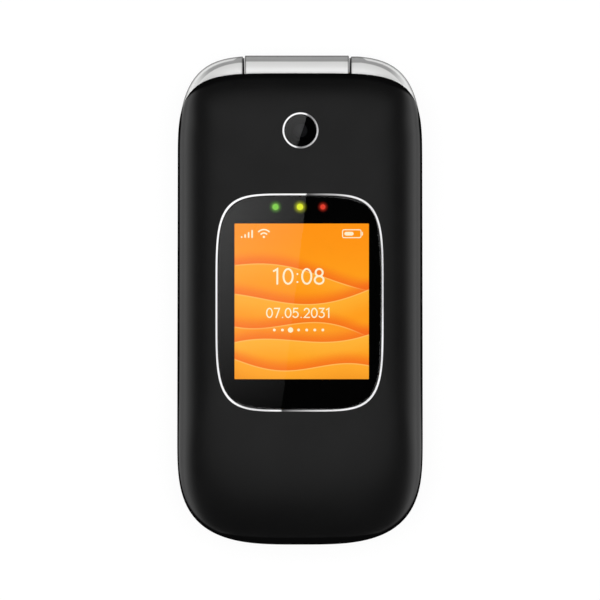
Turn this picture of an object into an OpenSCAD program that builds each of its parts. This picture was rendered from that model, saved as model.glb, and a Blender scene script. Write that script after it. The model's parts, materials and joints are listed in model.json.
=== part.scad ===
// Clamshell phone, closed, lying on its back.
// Frame: X across, +Y towards the hinge, +Z out of the lid. The origin is under the middle of the phone.

/* [Overall] */
// Width across the lid
body_w = 53.2; // [52.8:0.1:54]
// Length from the foot end to the hinge barrel
body_l = 106; // [105.4:0.2:108]
// Thickness when closed
body_t = 19.6; // [19.6:0.1:20.2]
// Thickness of the housing walls
wall = 1.6; // [1.4:0.1:1.7]

/* [Hinge] */
// Radius of the two housing knuckles
knuckle_r = 6; // [5.9:0.1:6.1]
// Left end of the lid's barrel, from the middle
barrel_left = 11.95; // [11.8:0.05:12.1]
// Right end of the lid's barrel, from the middle
barrel_right = 10.6; // [10.5:0.05:10.8]
// Gap between the barrel's ends and the knuckles
barrel_gap = 0.4; // [0.3:0.1:0.5]

/* [Outer window] */
// Width of the outer window with its bezel
window_w = 36.46; // [36:0.1:37]
// Length of the outer window with its bezel
window_l = 47.3; // [47:0.1:48]
// Width of the bezel, seen from the front
bezel_w = 0.5; // [0.4:0.1:0.6]

/* [Camera] */
// Diameter of the camera ring
camera_d = 7.9; // [7.6:0.1:8.2]
// Distance of the camera from the middle, towards the hinge
camera_y = 36.7; // [36.5:0.1:36.8]

/* [Keypad] */
// Width of a number key
key_w = 13.2; // [12.8:0.1:13.3]
// Length of a number key
key_l = 10.8; // [10.2:0.1:10.9]
// Distance from one column of keys to the next
key_pitch_x = 14.2; // [14.1:0.1:14.3]
// Distance from one row of keys to the next
key_pitch_y = 12.2; // [12:0.1:12.2]
// Diameter of the navigation ring
nav_d = 18.8; // [18.4:0.1:19]

/* [Battery] */
// Width of the battery pack
battery_w = 34; // [32:0.5:35]
// Length of the battery pack
battery_l = 52; // [48:1:52]

/* [Hidden] */
$fn = 64;
arch_steps = 16;
slit = 0.05;
gap = 0.1;
far = 80;
below = -1;

silver = "#c9cacc";
black = "#1d1d1f";
gloss_black = "#0c0c0d";
steel = "#b4b6ba";
board_green = "#1f5a3c";
gold = "#c9a24a";
tinted = [0.05, 0.05, 0.06, 0.6];

// Heights of the parting planes, from the back up
base_t = 10.2;
lid_floor_z = 10.6;
lid_split_z = 13.2;
front_split_z = 7;
cover_split_z = 3;
lid_crest_z = body_t - 0.2;
lid_roof = 1.8;

// The hinge axis lies across the phone, in the gap between its halves
barrel_r = knuckle_r + 0.2;
hinge_y = body_l / 2 - barrel_r;
hinge_z = (base_t + lid_floor_z) / 2;
notch_r = knuckle_r + 0.3;
trough_r = barrel_r + 0.3;

// Plan outlines. An end is [half width, where the sides stop, its length, side exponent, end exponent]
half_w = body_w / 2;
foot_y = 23 - body_l / 2;
base_top = [half_w - 0.1, body_l / 2 - 23.2, 23.2, 5.05, 2.76];
base_foot = [half_w - 0.2, foot_y, 23, 3.26, 3.25];
lid_top = [half_w - 0.1, body_l / 2 - 24.7, 20.78, 4.92, 4];
lid_foot = [half_w, foot_y, 23, 3.26, 3.25];

function arch(end) = [for (i = [0 : 2 * arch_steps])
    let (t = 90 * i / arch_steps, c = cos(t), s = max(0, sin(t)))
    [sign(c) * end[0] * pow(abs(c), 2 / end[3]), end[2] * pow(s, 2 / end[4])]];
function outline(top, foot) = concat(
    [for (p = arch(top)) [p[0], top[1] + p[1]]],
    [for (p = arch(foot)) [-p[0], foot[1] - p[1]]]);
function drawn_in(end, d) = [end[0] - d, end[1], end[2] - d, end[3], end[4]];
function base_ring(d) = outline(drawn_in(base_top, d), drawn_in(base_foot, d));
function lid_ring(d) = outline(drawn_in(lid_top, d), drawn_in(lid_foot, d));
function superellipse(a, b, n) = [for (i = [0 : 4 * arch_steps - 1])
    let (t = 90 * i / arch_steps, c = cos(t), s = sin(t))
    [sign(c) * a * pow(abs(c), 2 / n), sign(s) * b * pow(abs(s), 2 / n)]];
function round_rect(w, l, r) = [for (q = [0 : 3], i = [0 : 5])
    let (t = 90 * q + 18 * i, sx = (q == 0 || q == 3) ? 1 : -1, sy = q < 2 ? 1 : -1)
    [sx * (w / 2 - r) + r * cos(t), sy * (l / 2 - r) + r * sin(t)]];
function at_z(ring, z) = [for (p = ring) [p[0], p[1], z]];
function smooth(t) = let (u = min(1, max(0, t))) u * u * (3 - 2 * u);

// Closed solid through rings of equal length, each turning anticlockwise seen from above
module loft(rings) {
    n = len(rings[0]);
    k = len(rings);
    polyhedron(
        points = [for (ring = rings) each ring],
        faces = concat(
            [[for (i = [0 : n - 1]) i]],
            [for (j = [0 : k - 2], i = [0 : n - 1])
                let (a = j * n + i, b = j * n + (i + 1) % n) [a, a + n, b + n]],
            [for (j = [0 : k - 2], i = [0 : n - 1])
                let (a = j * n + i, b = j * n + (i + 1) % n) [a, b + n, b]],
            [[for (i = [n - 1 : -1 : 0]) (k - 1) * n + i]]));
}

module slab(ring, z0, z1) {
    translate([0, 0, z0]) linear_extrude(height = z1 - z0) polygon(ring);
}

module block(x0, x1, y0, y1, z0, z1) {
    translate([x0, y0, z0]) cube([x1 - x0, y1 - y0, z1 - z0]);
}

module disc(x, y, r, z0, z1) {
    translate([x, y, z0]) cylinder(h = z1 - z0, r = r);
}

// Cylinder on the hinge axis
module axle(r, x0, x1) {
    translate([x0, hinge_y, hinge_z]) rotate([0, 90, 0]) cylinder(h = x1 - x0, r = r);
}

// Hexagonal bar on the hinge axis
module hex_axle(r, x0, x1) {
    translate([x0, hinge_y, hinge_z]) rotate([0, 90, 0]) cylinder(h = x1 - x0, r = r, $fn = 6);
}

// Cylinder that lies along X
module rod_x(x0, x1, y, z, r) {
    translate([x0, y, z]) rotate([0, 90, 0]) cylinder(h = x1 - x0, r = r);
}

// Thin strip across X that follows [y, z] points, one thickness thick
module ribbon(path, x0, x1, thick) {
    upper = [for (p = path) [p[0], p[1] + thick / 2]];
    lower = [for (i = [len(path) - 1 : -1 : 0]) [path[i][0], path[i][1] - thick / 2]];
    translate([x0, 0, 0]) rotate([90, 0, 90]) linear_extrude(height = x1 - x0) polygon(concat(upper, lower));
}

// ---- Housing skin ----

// How far the skin draws in towards the back
back_round_in = 3.2;
back_round_up = 5;
function back_inset(z) = let (u = max(0, 1 - z / back_round_up)) back_round_in * (1 - sqrt(1 - u * u));
back_levels = [0, 0.3, 0.9, 1.8, cover_split_z, 4.2, front_split_z];

// The back rises to the knuckles in a soft S
rise_y0 = hinge_y - 12.8;
rise_h = hinge_z - knuckle_r;
function rise(y) = rise_h * (1 - cos(180 * (y - rise_y0) / (hinge_y - rise_y0))) / 2;

module below_rise() {
    curve = [for (i = [0 : 12]) let (y = rise_y0 + (hinge_y - rise_y0) * i / 12) [y, rise(y)]];
    translate([-far / 2, 0, 0]) rotate([90, 0, 90]) linear_extrude(height = far)
        polygon(concat([[rise_y0, -1]], curve, [[far, rise_h], [far, -1]]));
}

// ---- Layout of the housing's inside ----

cover_end_y = 23.5;
tongue_x = 19.4;
tongue_half_w = 1.5;
tongue_reach = 1.6;
tongue_z = [1.35, 2.2];
bay_end_y = 22.2;
bay_z0 = 2;
rib_w = 2.6;
inside_end_y = 38.3;
pocket_z0 = 1.2;
pocket_end_y = 36;
rear_end_y = hinge_y - 1.4;
floor_z0 = 5;
floor_z1 = 5.5;
board_z0 = 6.5;
board_z1 = 7.3;
board_half_w = 19.5;
board_y0 = -46;
board_y1 = 37.6;
housing_screw_at = [[-22.6, 20.4], [22.6, 20.4], [-22.6, -33], [22.6, -33]];
screw_boss_r = 1.9;
speaker_y = 31;
sound_hole_r = 0.55;
sound_hole_pitch = 2.1;
jack_y = 31.5;
jack_z = 4.2;
jack_r = 1.8;
jack_mouth_x = -25.6;
jack_bore_l = 12.5;
jack_nose_r = 2.3;
usb_y0 = 0.8 - body_l / 2;
usb_y1 = usb_y0 + 7;
usb_half_w = 4.45;
usb_z0 = 3.5;
usb_z1 = 6.4;
sim_x = [-19, -6];
sim_y = [-44.5, -34];
rocker_y = 8;
rocker_half_l = 8;
rocker_z = [3.75, 6.25];
rocker_flange_x = [23.5, 24.4];
flex_x = [16.8, 20.2];

module rear_housing() color(black) difference() {
    loft([for (z = back_levels) at_z(base_ring(back_inset(z)), z)]);
    below_rise();
    // Room for the battery cover, the battery and the board
    block(-far, far, -far, cover_end_y, below, cover_split_z);
    intersection() {
        slab(base_ring(wall), bay_z0, floor_z0);
        block(-far, far, -far, bay_end_y, bay_z0, floor_z0);
    }
    intersection() {
        slab(base_ring(wall), floor_z1, front_split_z + 1);
        block(-far, far, -far, inside_end_y, floor_z1, front_split_z + 1);
    }
    intersection() {
        slab(base_ring(wall), cover_split_z, floor_z1 + slit);
        block(-far, far, bay_end_y + rib_w, inside_end_y, cover_split_z, floor_z1 + slit);
    }
    intersection() {
        slab(base_ring(wall + 1), pocket_z0, cover_split_z + slit);
        block(-far, far, bay_end_y + rib_w + 0.2, pocket_end_y, pocket_z0, cover_split_z + slit);
    }
    // Hinge
    axle(knuckle_r + slit, -far / 2, far / 2);
    axle(trough_r, -barrel_left - barrel_gap, barrel_right + barrel_gap);
    block(-far, far, rear_end_y, far, below, front_split_z + 1);
    block(-barrel_left - barrel_gap, barrel_right + barrel_gap,
        rear_end_y - 1.2, far, below, front_split_z + 1);
    // Ports, side key and cover tongues
    block(-usb_half_w - gap, usb_half_w + gap, -far, usb_y1 + 0.4, usb_z0 - gap, usb_z1 + slit);
    block(sim_x[0] - 0.3, sim_x[1] + 0.3, sim_y[0] - 0.3, sim_y[1] + 0.3, floor_z0 - 1, floor_z1 + 1);
    rod_x(-far / 2, -half_w + 3.6, jack_y, jack_z, jack_nose_r + gap);
    slab(moved(round_rect(6.2, 2 * rocker_half_l + 0.4, 1), half_w - 0.6, rocker_y),
        rocker_z[0] - 0.15, rocker_z[1] + 0.15);
    block(rocker_flange_x[0] - 0.9, rocker_flange_x[1] + 0.5, rocker_y - rocker_half_l - 1.4,
        rocker_y + rocker_half_l + 1.4, rocker_z[0] - 0.25, rocker_z[1] + 0.25);
    for (s = [-1, 1])
        block(s * tongue_x - tongue_half_w - 0.2, s * tongue_x + tongue_half_w + 0.2, cover_end_y - 1,
            cover_end_y + tongue_reach + 0.4, tongue_z[0] - gap, tongue_z[1] + 0.15);
    for (p = housing_screw_at) disc(p[0], p[1], 0.95, floor_z0 - 1, front_split_z);
    for (i = [-3 : 3], j = [-1 : 1])
        disc(i * sound_hole_pitch, speaker_y + j * sound_hole_pitch, sound_hole_r, below, bay_z0);
}

// ---- Keypad layout ----

key_r = 2.8;
side_key_w = 9.8;
side_key_l = 10.6;
key_gap = 0.15;
mic_y = -43.6;
mic_hole_r = 0.6;
side_key_x = 1.5 * key_pitch_x - 5.4;
nav_y = hinge_y - 24.6;
nav_r = nav_d / 2;
ok_r = 3.9;
first_row_y = nav_y - 19.8;
plate_z0 = 9.3;
plate_z1 = 9.9;
plate_half_w = 22.2;
plate_top = [plate_half_w, 26, hinge_y - 8.2 - 26, 5, 4];
plate_foot = [plate_half_w, foot_y, 18.2, 4, 4];
function plate_ring(d) = outline(drawn_in(plate_top, d), drawn_in(plate_foot, d));
number_key_names = ["key_1", "key_2", "key_3", "key_4", "key_5", "key_6", "key_7", "key_8", "key_9",
    "key_star", "key_0", "key_hash"];
number_keys = [for (i = [0 : 11])
    [number_key_names[i], (i % 3 - 1) * key_pitch_x, first_row_y - floor(i / 3) * key_pitch_y]];
side_keys = [
    ["soft_key_left", -side_key_x, nav_y + key_pitch_y / 2, silver],
    ["soft_key_right", side_key_x, nav_y + key_pitch_y / 2, silver],
    ["call_key", -side_key_x, nav_y - key_pitch_y / 2, "#2f9e44"],
    ["end_key", side_key_x, nav_y - key_pitch_y / 2, "#c92a2a"]];

function moved(ring, x, y) = [for (p = ring) [p[0] + x, p[1] + y]];
function key_ring(w, l, d) = round_rect(w + 2 * d, l + 2 * d, key_r + d);

// What turns in the knuckles
inside_top_z = 8.6;
shaft_x = [-19.9, 0.6];
shaft_key_r = 2.3;
shaft_r = 1.6;
bush_x = [9.2, 16];
bush_r = 2.6;
flex_chamber_r = 3.2;

// The knuckles' outer corners are rounded in plan and in section
corner_round = 0.92;
function corner_inset(dz) = corner_round * (knuckle_r - sqrt(knuckle_r * knuckle_r - dz * dz));

module knuckles() difference() {
    intersection() {
        loft([for (t = [-90 : 15 : 90])
            let (dz = knuckle_r * sin(t)) at_z(base_ring(corner_inset(dz)), hinge_z + dz)]);
        axle(knuckle_r, -far / 2, far / 2);
    }
    block(-barrel_left - barrel_gap, barrel_right + barrel_gap, hinge_y - far / 2, far, -1, far / 2);
}

module front_housing() color(silver) difference() {
    union() {
        difference() {
            slab(base_ring(0), front_split_z, base_t);
            block(-far, far, hinge_y, far, 0, far / 2);
            axle(trough_r, -barrel_left - barrel_gap, barrel_right + barrel_gap);
            block(-barrel_left - barrel_gap, barrel_right + barrel_gap, hinge_y - 3.8, far, 0, far / 2);
            intersection() {
                slab(base_ring(wall), 0, inside_top_z);
                block(-far, far, -far, inside_end_y, 0, inside_top_z);
            }
        }
        knuckles();
        for (p = housing_screw_at) disc(p[0], p[1], screw_boss_r, board_z0 - 0.9, plate_z0 - 0.3);
    }
    slab(plate_ring(-0.06), plate_z0 - slit, far / 2);
    slab(plate_ring(0.9), 0, plate_z0);
    for (p = housing_screw_at) disc(p[0], p[1], 0.75, 0, plate_z0 + 0.2);
    // Left knuckle: keyed socket of the hinge shaft. Right knuckle: bush seat, with the flex behind it
    hex_axle(shaft_key_r + gap, shaft_x[0] - 0.2, -barrel_left - slit);
    axle(bush_r + 0.02, barrel_right - 0.6, bush_x[1] + gap);
    axle(flex_chamber_r, bush_x[1] + gap, 21);
    block(flex_x[0] - 0.2, flex_x[1] + 0.2, inside_end_y - 1, hinge_y - 1.5, board_z1 + slit, 8.7);
}

module keypad_plate() color(gloss_black) difference() {
    slab(plate_ring(0), plate_z0, plate_z1);
    for (k = number_keys) slab(moved(key_ring(key_w, key_l, key_gap), k[1], k[2]), 0, far);
    for (k = side_keys) slab(moved(key_ring(side_key_w, side_key_l, key_gap), k[1], k[2]), 0, far);
    disc(0, nav_y, nav_r + key_gap + gap, 0, far);
    disc(0, mic_y, mic_hole_r, 0, far);
}

key_top_z = 10.35;
key_flange_z0 = 8.4;
key_flange_z1 = 9.2;
key_edge = 0.25;
plunger_z = 7.95;
plunger_r = 1.2;

module keycap(x, y, w, l) {
    translate([x, y, 0]) {
        slab(key_ring(w, l, 0.35), key_flange_z0, key_flange_z1);
        slab(key_ring(w, l, 0), key_flange_z1, key_top_z - key_edge);
        slab(key_ring(w, l, -0.35), key_top_z - key_edge, key_top_z);
        disc(0, 0, plunger_r, plunger_z, key_flange_z0);
    }
}

module number_key(k) color(gloss_black) keycap(k[1], k[2], key_w, key_l);

module side_key(k) color(k[3]) keycap(k[1], k[2], side_key_w, side_key_l);

// Rocking pad under the navigation ring: its ribs carry the ring across Y, and it rocks across X itself
module nav_pad() color("#8a8c90") translate([0, nav_y, 0]) {
    difference() {
        block(-nav_r + 0.4, nav_r - 0.4, -5.3, 5.3, 8, 8.15);
        disc(0, 0, ok_r + 0.5, 7, 9);
    }
    for (s = [-1, 1]) block(s * 6.8 - 1.6, s * 6.8 + 1.6, -0.5, 0.5, 8.1, 8.35);
}

module nav_ring() color(silver) translate([0, nav_y, 0]) difference() {
    union() {
        disc(0, 0, nav_r + 0.4, key_flange_z0, 8.8);
        disc(0, 0, nav_r, 8.8, key_top_z - key_edge);
        disc(0, 0, nav_r - 0.4, key_top_z - key_edge, key_top_z - slit);
    }
    disc(0, 0, ok_r + 0.4, 7, far);
}

module ok_key() color(gloss_black) {
    disc(0, nav_y, ok_r, 8.3, key_top_z - key_edge);
    disc(0, nav_y, ok_r - 0.3, key_top_z - key_edge, key_top_z);
    disc(0, nav_y, plunger_r, plunger_z, 8.3);
}

// ---- Battery and its cover ----

cover_t = 1.1;
cover_wall = 1.5;
thumb_dish_r = 20;
thumb_dish_depth = 0.6;

module battery_cover() color(black) difference() {
    union() {
        difference() {
            loft(concat(
                [for (z = [0, 0.3, 0.9, 1.8, cover_split_z - slit]) at_z(base_ring(back_inset(z)), z)],
                [for (z = [cover_split_z - slit, 1.8, cover_t])
                    at_z(base_ring(cover_wall + back_inset(z)), z)]));
            block(-far, far, cover_end_y - slit, far, -1, cover_split_z + 1);
        }
        for (s = [-1, 1]) {
            block(s * tongue_x - tongue_half_w, s * tongue_x + tongue_half_w,
                cover_end_y - 3, cover_end_y + tongue_reach, tongue_z[0], tongue_z[1]);
            block(s * tongue_x - tongue_half_w, s * tongue_x + tongue_half_w,
                cover_end_y - 3, cover_end_y - 1.6, cover_t - gap, tongue_z[0] + 0.15);
        }
    }
    translate([0, 14, thumb_dish_depth - thumb_dish_r]) sphere(r = thumb_dish_r);
}

battery_end_y = bay_end_y - 2.2;
battery_z = [1.3, 4.8];

module battery() color("#3a3f47") translate([0, battery_end_y - battery_l / 2, 0]) {
    slab(round_rect(battery_w, battery_l, 1.2), battery_z[0], battery_z[1]);
}

module battery_contacts() color(gold) {
    block(-5.5, 5.5, bay_end_y - 1.5, bay_end_y - slit, battery_z[0] + 0.3, floor_z0 - slit);
    for (i = [-1 : 1]) block(i * 3 - 0.6, i * 3 + 0.6, battery_end_y + gap, bay_end_y - 1.4, 2.2, 4.2);
}

// ---- Board and what sits on it ----

film_gap = 0.02;
// Each can: [x, y, width, length]
shield_cans_at = [[-8.5, -18, 15, 20], [9, -20, 13, 14], [-7, 8, 18, 16], [11, 4, 9, 18]];
flex_plug_y = [33.2, 36];

module main_board() color(board_green) {
    slab(moved(round_rect(2 * board_half_w, board_y1 - board_y0, 4), 0, (board_y0 + board_y1) / 2),
        board_z0, board_z1);
    block(flex_x[0] - 0.4, board_half_w, flex_plug_y[0], flex_plug_y[1], board_z1 - slit, 7.94);
}

module shield_cans() color(steel) {
    for (c = shield_cans_at)
        slab(moved(round_rect(c[2], c[3], 0.8), c[0], c[1]), floor_z1 + 0.08, board_z0 - film_gap);
}

dome_at = concat(
    [for (k = number_keys) [k[1], k[2]]],
    [for (k = side_keys) [k[1], k[2]]],
    [[0, nav_y]],
    [for (t = [0 : 90 : 270]) [7 * cos(t), nav_y + 7 * sin(t)]]);

module dome_sheet() color("#d8d8d2") {
    slab(moved(round_rect(2 * board_half_w - 1, 68, 3), 0, -3), board_z1 + film_gap, board_z1 + gap);
    for (p = dome_at) translate([p[0], p[1], board_z1 + 0.08]) cylinder(h = 0.2, r1 = 2, r2 = 1.1);
}

module loudspeaker() color("#2c2c2e") translate([0, speaker_y, 0]) {
    slab(round_rect(17, 9.8, 2), 1.6, 5.3);
    slab(round_rect(14.5, 7.6, 2.4), 1.3, 1.7);
}

module microphone() color(steel) block(-1.9, 1.9, mic_y - 1.3, mic_y + 1.6, board_z1 + film_gap, 8.4);

motor_at = [15.5, 30.5];

module vibration_motor() color(steel) {
    disc(motor_at[0], motor_at[1], 4, 3.7, board_z0 - gap);
    disc(motor_at[0], motor_at[1], 1, 3.5, 3.8);
}

usb_wall = 0.35;

module usb_port() color(steel) difference() {
    block(-usb_half_w, usb_half_w, usb_y0, usb_y1, usb_z0, usb_z1);
    difference() {
        block(-usb_half_w + usb_wall, usb_half_w - usb_wall, usb_y0 - 1, usb_y1 - 0.8,
            usb_z0 + usb_wall, usb_z1 - usb_wall);
        block(-3.3, 3.3, usb_y0 + 0.6, usb_y1, 4.6, 5.3);
    }
}

jack_body_x = [-23.6, -12.4];

module headset_jack() color("#26262a") difference() {
    union() {
        block(jack_body_x[0], jack_body_x[1], jack_y - 3, jack_y + 3, 1.4, 6.35);
        rod_x(jack_mouth_x, jack_body_x[0] + gap, jack_y, jack_z, jack_nose_r);
    }
    rod_x(jack_mouth_x - 1, jack_mouth_x + jack_bore_l, jack_y, jack_z, jack_r);
}

module sim_holder() color(steel) difference() {
    block(sim_x[0], sim_x[1], sim_y[0], sim_y[1], floor_z0 - 0.3, board_z0 - slit);
    block(sim_x[0] + 0.4, sim_x[1] - 0.4, sim_y[0] + 0.6, sim_y[1] + 1, floor_z0 + gap, board_z0 - 0.5);
}

module antenna() color(gold) {
    for (i = [-4 : 4]) block(i * 3 - 0.5, i * 3 + 0.5, -49.2, -45.2, board_z1 + film_gap, 8.2);
    block(-13.5, 13.5, -49.6, -45.1, board_z1 + film_gap, 7.9);
}

switch_offset = 5.6;

module side_switches() color("#3c3c40")
    for (y = [rocker_y - switch_offset, rocker_y + switch_offset]) {
        block(board_half_w, 21, y - 1.6, y + 1.6, 5.6, board_z1);
        rod_x(20.9, rocker_flange_x[0] - 0.3, y, 6.1, 0.45);
    }

module volume_rocker() color(silver) {
    slab(moved(round_rect(2.6, 2 * rocker_half_l, 0.8), half_w - 1.3, rocker_y), rocker_z[0], rocker_z[1]);
    block(rocker_flange_x[0], rocker_flange_x[1], rocker_y - rocker_half_l - 1, rocker_y + rocker_half_l + 1,
        rocker_z[0], rocker_z[1]);
}

module screw(x, y, z_head, head_h, z_tip, head_r, shank_r) {
    difference() {
        disc(x, y, head_r, z_head, z_head + head_h);
        disc(x, y, head_r * 0.45, z_head - 1, z_head + head_h * 0.4);
    }
    disc(x, y, shank_r, z_head + head_h * 0.9, z_tip);
}

module housing_screws() color(steel)
    for (p = housing_screw_at) screw(p[0], p[1], floor_z0 - 0.75, 0.7, plate_z0 - gap, 1.4, 0.7);

// ---- Hinge cartridge and flex ----

module hinge_shaft() color(steel) {
    hex_axle(shaft_key_r, shaft_x[0], -barrel_left - barrel_gap + slit);
    axle(shaft_r, -barrel_left - barrel_gap - slit, shaft_x[1]);
}

can_x = [-11.9, 0.9];
can_r = 3.4;

module hinge_can() color("#8e9095") difference() {
    axle(can_r, can_x[0], can_x[1]);
    axle(can_r - 0.5, can_x[0] + 1, can_x[1] - 1);
    axle(shaft_r + slit, can_x[0] - 1, shaft_x[1] + gap);
}

spring_turns = 6;
spring_x = [-10.5, -0.5];
spring_r = 2.3;
spring_wire_r = 0.32;
spring_sides = 8;
spring_rings = 72;

module hinge_spring() color("#d0d2d6") {
    centre = [for (i = [0 : spring_rings]) let (t = i / spring_rings, a = 360 * spring_turns * t)
        [spring_x[0] + (spring_x[1] - spring_x[0]) * t, spring_r * cos(a), spring_r * sin(a), a]];
    rings = [for (c = centre) [for (j = [0 : spring_sides - 1])
        let (b = 360 * j / spring_sides, out = spring_r + spring_wire_r * cos(b))
        [c[0] + spring_wire_r * sin(b), hinge_y + out * cos(c[3]), hinge_z + out * sin(c[3])]]];
    loft(rings);
}

module pivot_bush() color(gold) difference() {
    axle(bush_r, bush_x[0], bush_x[1]);
    axle(1.7, bush_x[0] - 1, bush_x[1] + 1);
}

flex_roll_r = 1.5;
flex_t = 0.12;

module flex_roll(x0, x1) difference() {
    axle(flex_roll_r, x0, x1);
    axle(flex_roll_r - 0.2, x0 - 1, x1 + 1);
}

module lid_flex() color("#b5651d") {
    flex_roll(4.2, 16.5);
    ribbon([[29, 14.39], [35.2, 14.39], [36.2, 12.8], [43.2, 12.8], [46.2, 11.75]], 4.2, 9, flex_t);
}

module board_flex() color("#b5651d") {
    flex_roll(16.7, flex_x[1]);
    ribbon([[34, 8], [38.5, 8], [43, 8.1], [46.3, 9.05]], flex_x[0], flex_x[1], flex_t);
}

// ---- Lid ----

// The lid's skin is scaled towards a point near the hinge, so that its foot end slopes gently
lid_focus_y = 25;
side_drop = 5.6;
end_drop = 2.3;
function lid_drop(y) = side_drop + (end_drop - side_drop) * smooth((y - hinge_y + 9) / 9);
function dome(s) = 1 - sqrt(1 - pow(s, 8));
function lifted(ring, s, z0, drops) = [for (i = [0 : len(ring) - 1])
    [ring[i][0] * s, lid_focus_y + (ring[i][1] - lid_focus_y) * s, z0 - (s > 0.6 ? drops[i] * dome(s) : 0)]];
outer_drops = [for (p = lid_ring(0)) lid_drop(p[1])];
function outer_skin(s) = lifted(lid_ring(0), s, lid_crest_z, outer_drops);
// The cavity stops short of the hinge, so it takes the drop of the skin further on
cavity_lead = 8.75;
cavity_drop_less = 1.35;
function inner_skin(s) = lifted(lid_cavity_ring, s, lid_crest_z - lid_roof,
    [for (p = lid_cavity_ring) lid_drop(p[1] + cavity_lead) - cavity_drop_less]);
lid_cavity_ring = outline([half_w - wall, 22, hinge_y - 28.6, 5, 6], drawn_in(lid_foot, wall));
outer_levels = [1, 0.996, 0.985, 0.96, 0.92, 0.86, 0.77, 0.5];
inner_levels = [0.5, 0.77, 0.88, 0.95, 1];
window_x = -0.1;
window_y = -0.55;
window_ring = superellipse(window_w / 2, window_l / 2, 4.9);
window_seat_z = 18.25;
window_ledge = 1.6;
fit_gap = 0.04;
camera_seat_z = 18.05;
camera_x = 0.1;
camera_r = camera_d / 2;
camera_ring_w = 0.48;
lid_screw_at = [[-23, 34], [23, 34], [-20.5, -44], [20.5, -44]];

function grown(ring, d, a, b) = [for (p = ring) [p[0] * (a + d) / a, p[1] * (b + d) / b]];
function window_at(d) = moved(grown(window_ring, d, window_w / 2, window_l / 2), window_x, window_y);

module lid_cover() color(black) difference() {
    union() {
        loft(concat(
            [for (s = inner_levels) inner_skin(s)],
            [at_z(lid_cavity_ring, lid_split_z), at_z(lid_ring(0), lid_split_z)],
            [for (s = outer_levels) outer_skin(s)]));
        for (p = lid_screw_at) disc(p[0], p[1], screw_boss_r, lid_split_z + slit, 15.9);
    }
    slab(window_at(fit_gap), window_seat_z - slit, far / 2);
    slab(window_at(-window_ledge), lid_crest_z - lid_roof - 0.5, window_seat_z);
    disc(camera_x, camera_y, camera_r + fit_gap, camera_seat_z - slit, far / 2);
    disc(camera_x, camera_y, camera_r - 0.9, 17, camera_seat_z + gap);
    axle(notch_r, -far / 2, far / 2);
    for (p = lid_screw_at) disc(p[0], p[1], 0.65, lid_split_z - 1, 15.2);
}

inner_window_top = [20.6, 28, hinge_y - 10.8 - 28, 5, 5];
inner_window_foot = [20.6, -32, 6.6, 4, 4];
function inner_window_ring(d) = outline(drawn_in(inner_window_top, d), drawn_in(inner_window_foot, d));
inner_screen_w = 36.7;
inner_screen_l = 48.9;
inner_screen_y = 3.9;
earpiece_y = -31.9;
inner_window_z = [10.7, 11.4];
inner_cover_top_z = 11.9;
bumper_r = 1.8;

module lid_inner_cover() color(silver) difference() {
    union() {
        difference() {
            slab(lid_ring(0.15), lid_floor_z, lid_split_z);
            slab([for (p = lid_cavity_ring) [p[0] * 0.995, p[1] - (p[1] > 0 ? 0.6 : 0)]],
                inner_cover_top_z, lid_split_z + 1);
            axle(notch_r, -far / 2, -barrel_left);
            axle(notch_r, barrel_right, far / 2);
            block(-far, -barrel_left, hinge_y, far, 0, far);
            block(barrel_right, far, hinge_y, far, 0, far);
        }
        axle(barrel_r, -barrel_left, barrel_right);
        for (p = lid_screw_at)
            disc(p[0], p[1], screw_boss_r + (p[1] > 0 ? 0.3 : 1), inner_cover_top_z - 0.4, lid_split_z);
    }
    slab(inner_window_ring(-0.06), 0, inner_window_z[1] + slit);
    slab(moved(round_rect(inner_screen_w + 2, inner_screen_l + 2, 1), 0, inner_screen_y), 11, 12);
    slab(moved(round_rect(12, 3, 1.4), 0, earpiece_y), 11, 12);
    for (p = lid_screw_at) {
        disc(p[0], p[1], bumper_r + slit, 0, 12.4);
        disc(p[0], p[1], 0.85, 0, lid_split_z + 1);
    }
    // Hinge cartridge on the left, flex chamber on the right
    axle(can_r + slit, -barrel_left - 1, can_x[1] + gap);
    axle(4.6, 1.6, bush_x[0] + 0.2);
    axle(bush_r + slit, bush_x[0] - 0.2, barrel_right + 1);
    block(4, 9.2, 38, hinge_y - 2.6, 12.5, 13.1);
}

module window_bezel() color("#e8e8ea") difference() {
    slab(window_at(0), window_seat_z, body_t);
    slab(window_at(-bezel_w), 0, far);
}

module outer_window() color(tinted) slab(window_at(-bezel_w - fit_gap), window_seat_z, body_t - gap);

screen_w = 29.4;
screen_l = 33.9;
screen_x = 0.48;
screen_y = -0.4;
lid_board_z = [14.45, 15];

module outer_display() color("#f08c1a") {
    block(-16, 17, -20.5, 18.7, lid_board_z[1] + 0.4, 17.1);
    translate([screen_x, screen_y, 0])
        block(-screen_w / 2, screen_w / 2, -screen_l / 2, screen_l / 2, 17, 17.5);
}

led_x = [-5.3, 0, 4.95];
led_y = 20.15;
led_r = 0.75;

module status_leds() color("#dfe3dd")
    for (x = led_x) {
        disc(x, led_y, led_r, 15.9, window_seat_z - slit);
        block(x - 1, x + 1, led_y - 0.8, led_y + 0.8, lid_board_z[1] + slit, 16);
    }

module camera_ring() color("#e8e8ea") difference() {
    disc(camera_x, camera_y, camera_r, camera_seat_z, body_t - gap);
    disc(camera_x, camera_y, camera_r - camera_ring_w, 0, far);
}

module camera_window() color(tinted)
    disc(camera_x, camera_y, camera_r - camera_ring_w - fit_gap, camera_seat_z, body_t - 0.25);

module camera_module() color("#2c2c2e") difference() {
    union() {
        translate([camera_x, camera_y - 0.1, 0]) block(-3.3, 3.3, -3.3, 3.3, 13.6, 16.4);
        disc(camera_x, camera_y, 2.6, 16.3, 17.85);
    }
    disc(camera_x, camera_y, 1.4, 17.4, 19);
}

module lid_board() color(board_green)
    slab(moved(round_rect(38, 54, 2), 0, 4), lid_board_z[0], lid_board_z[1]);

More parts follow.
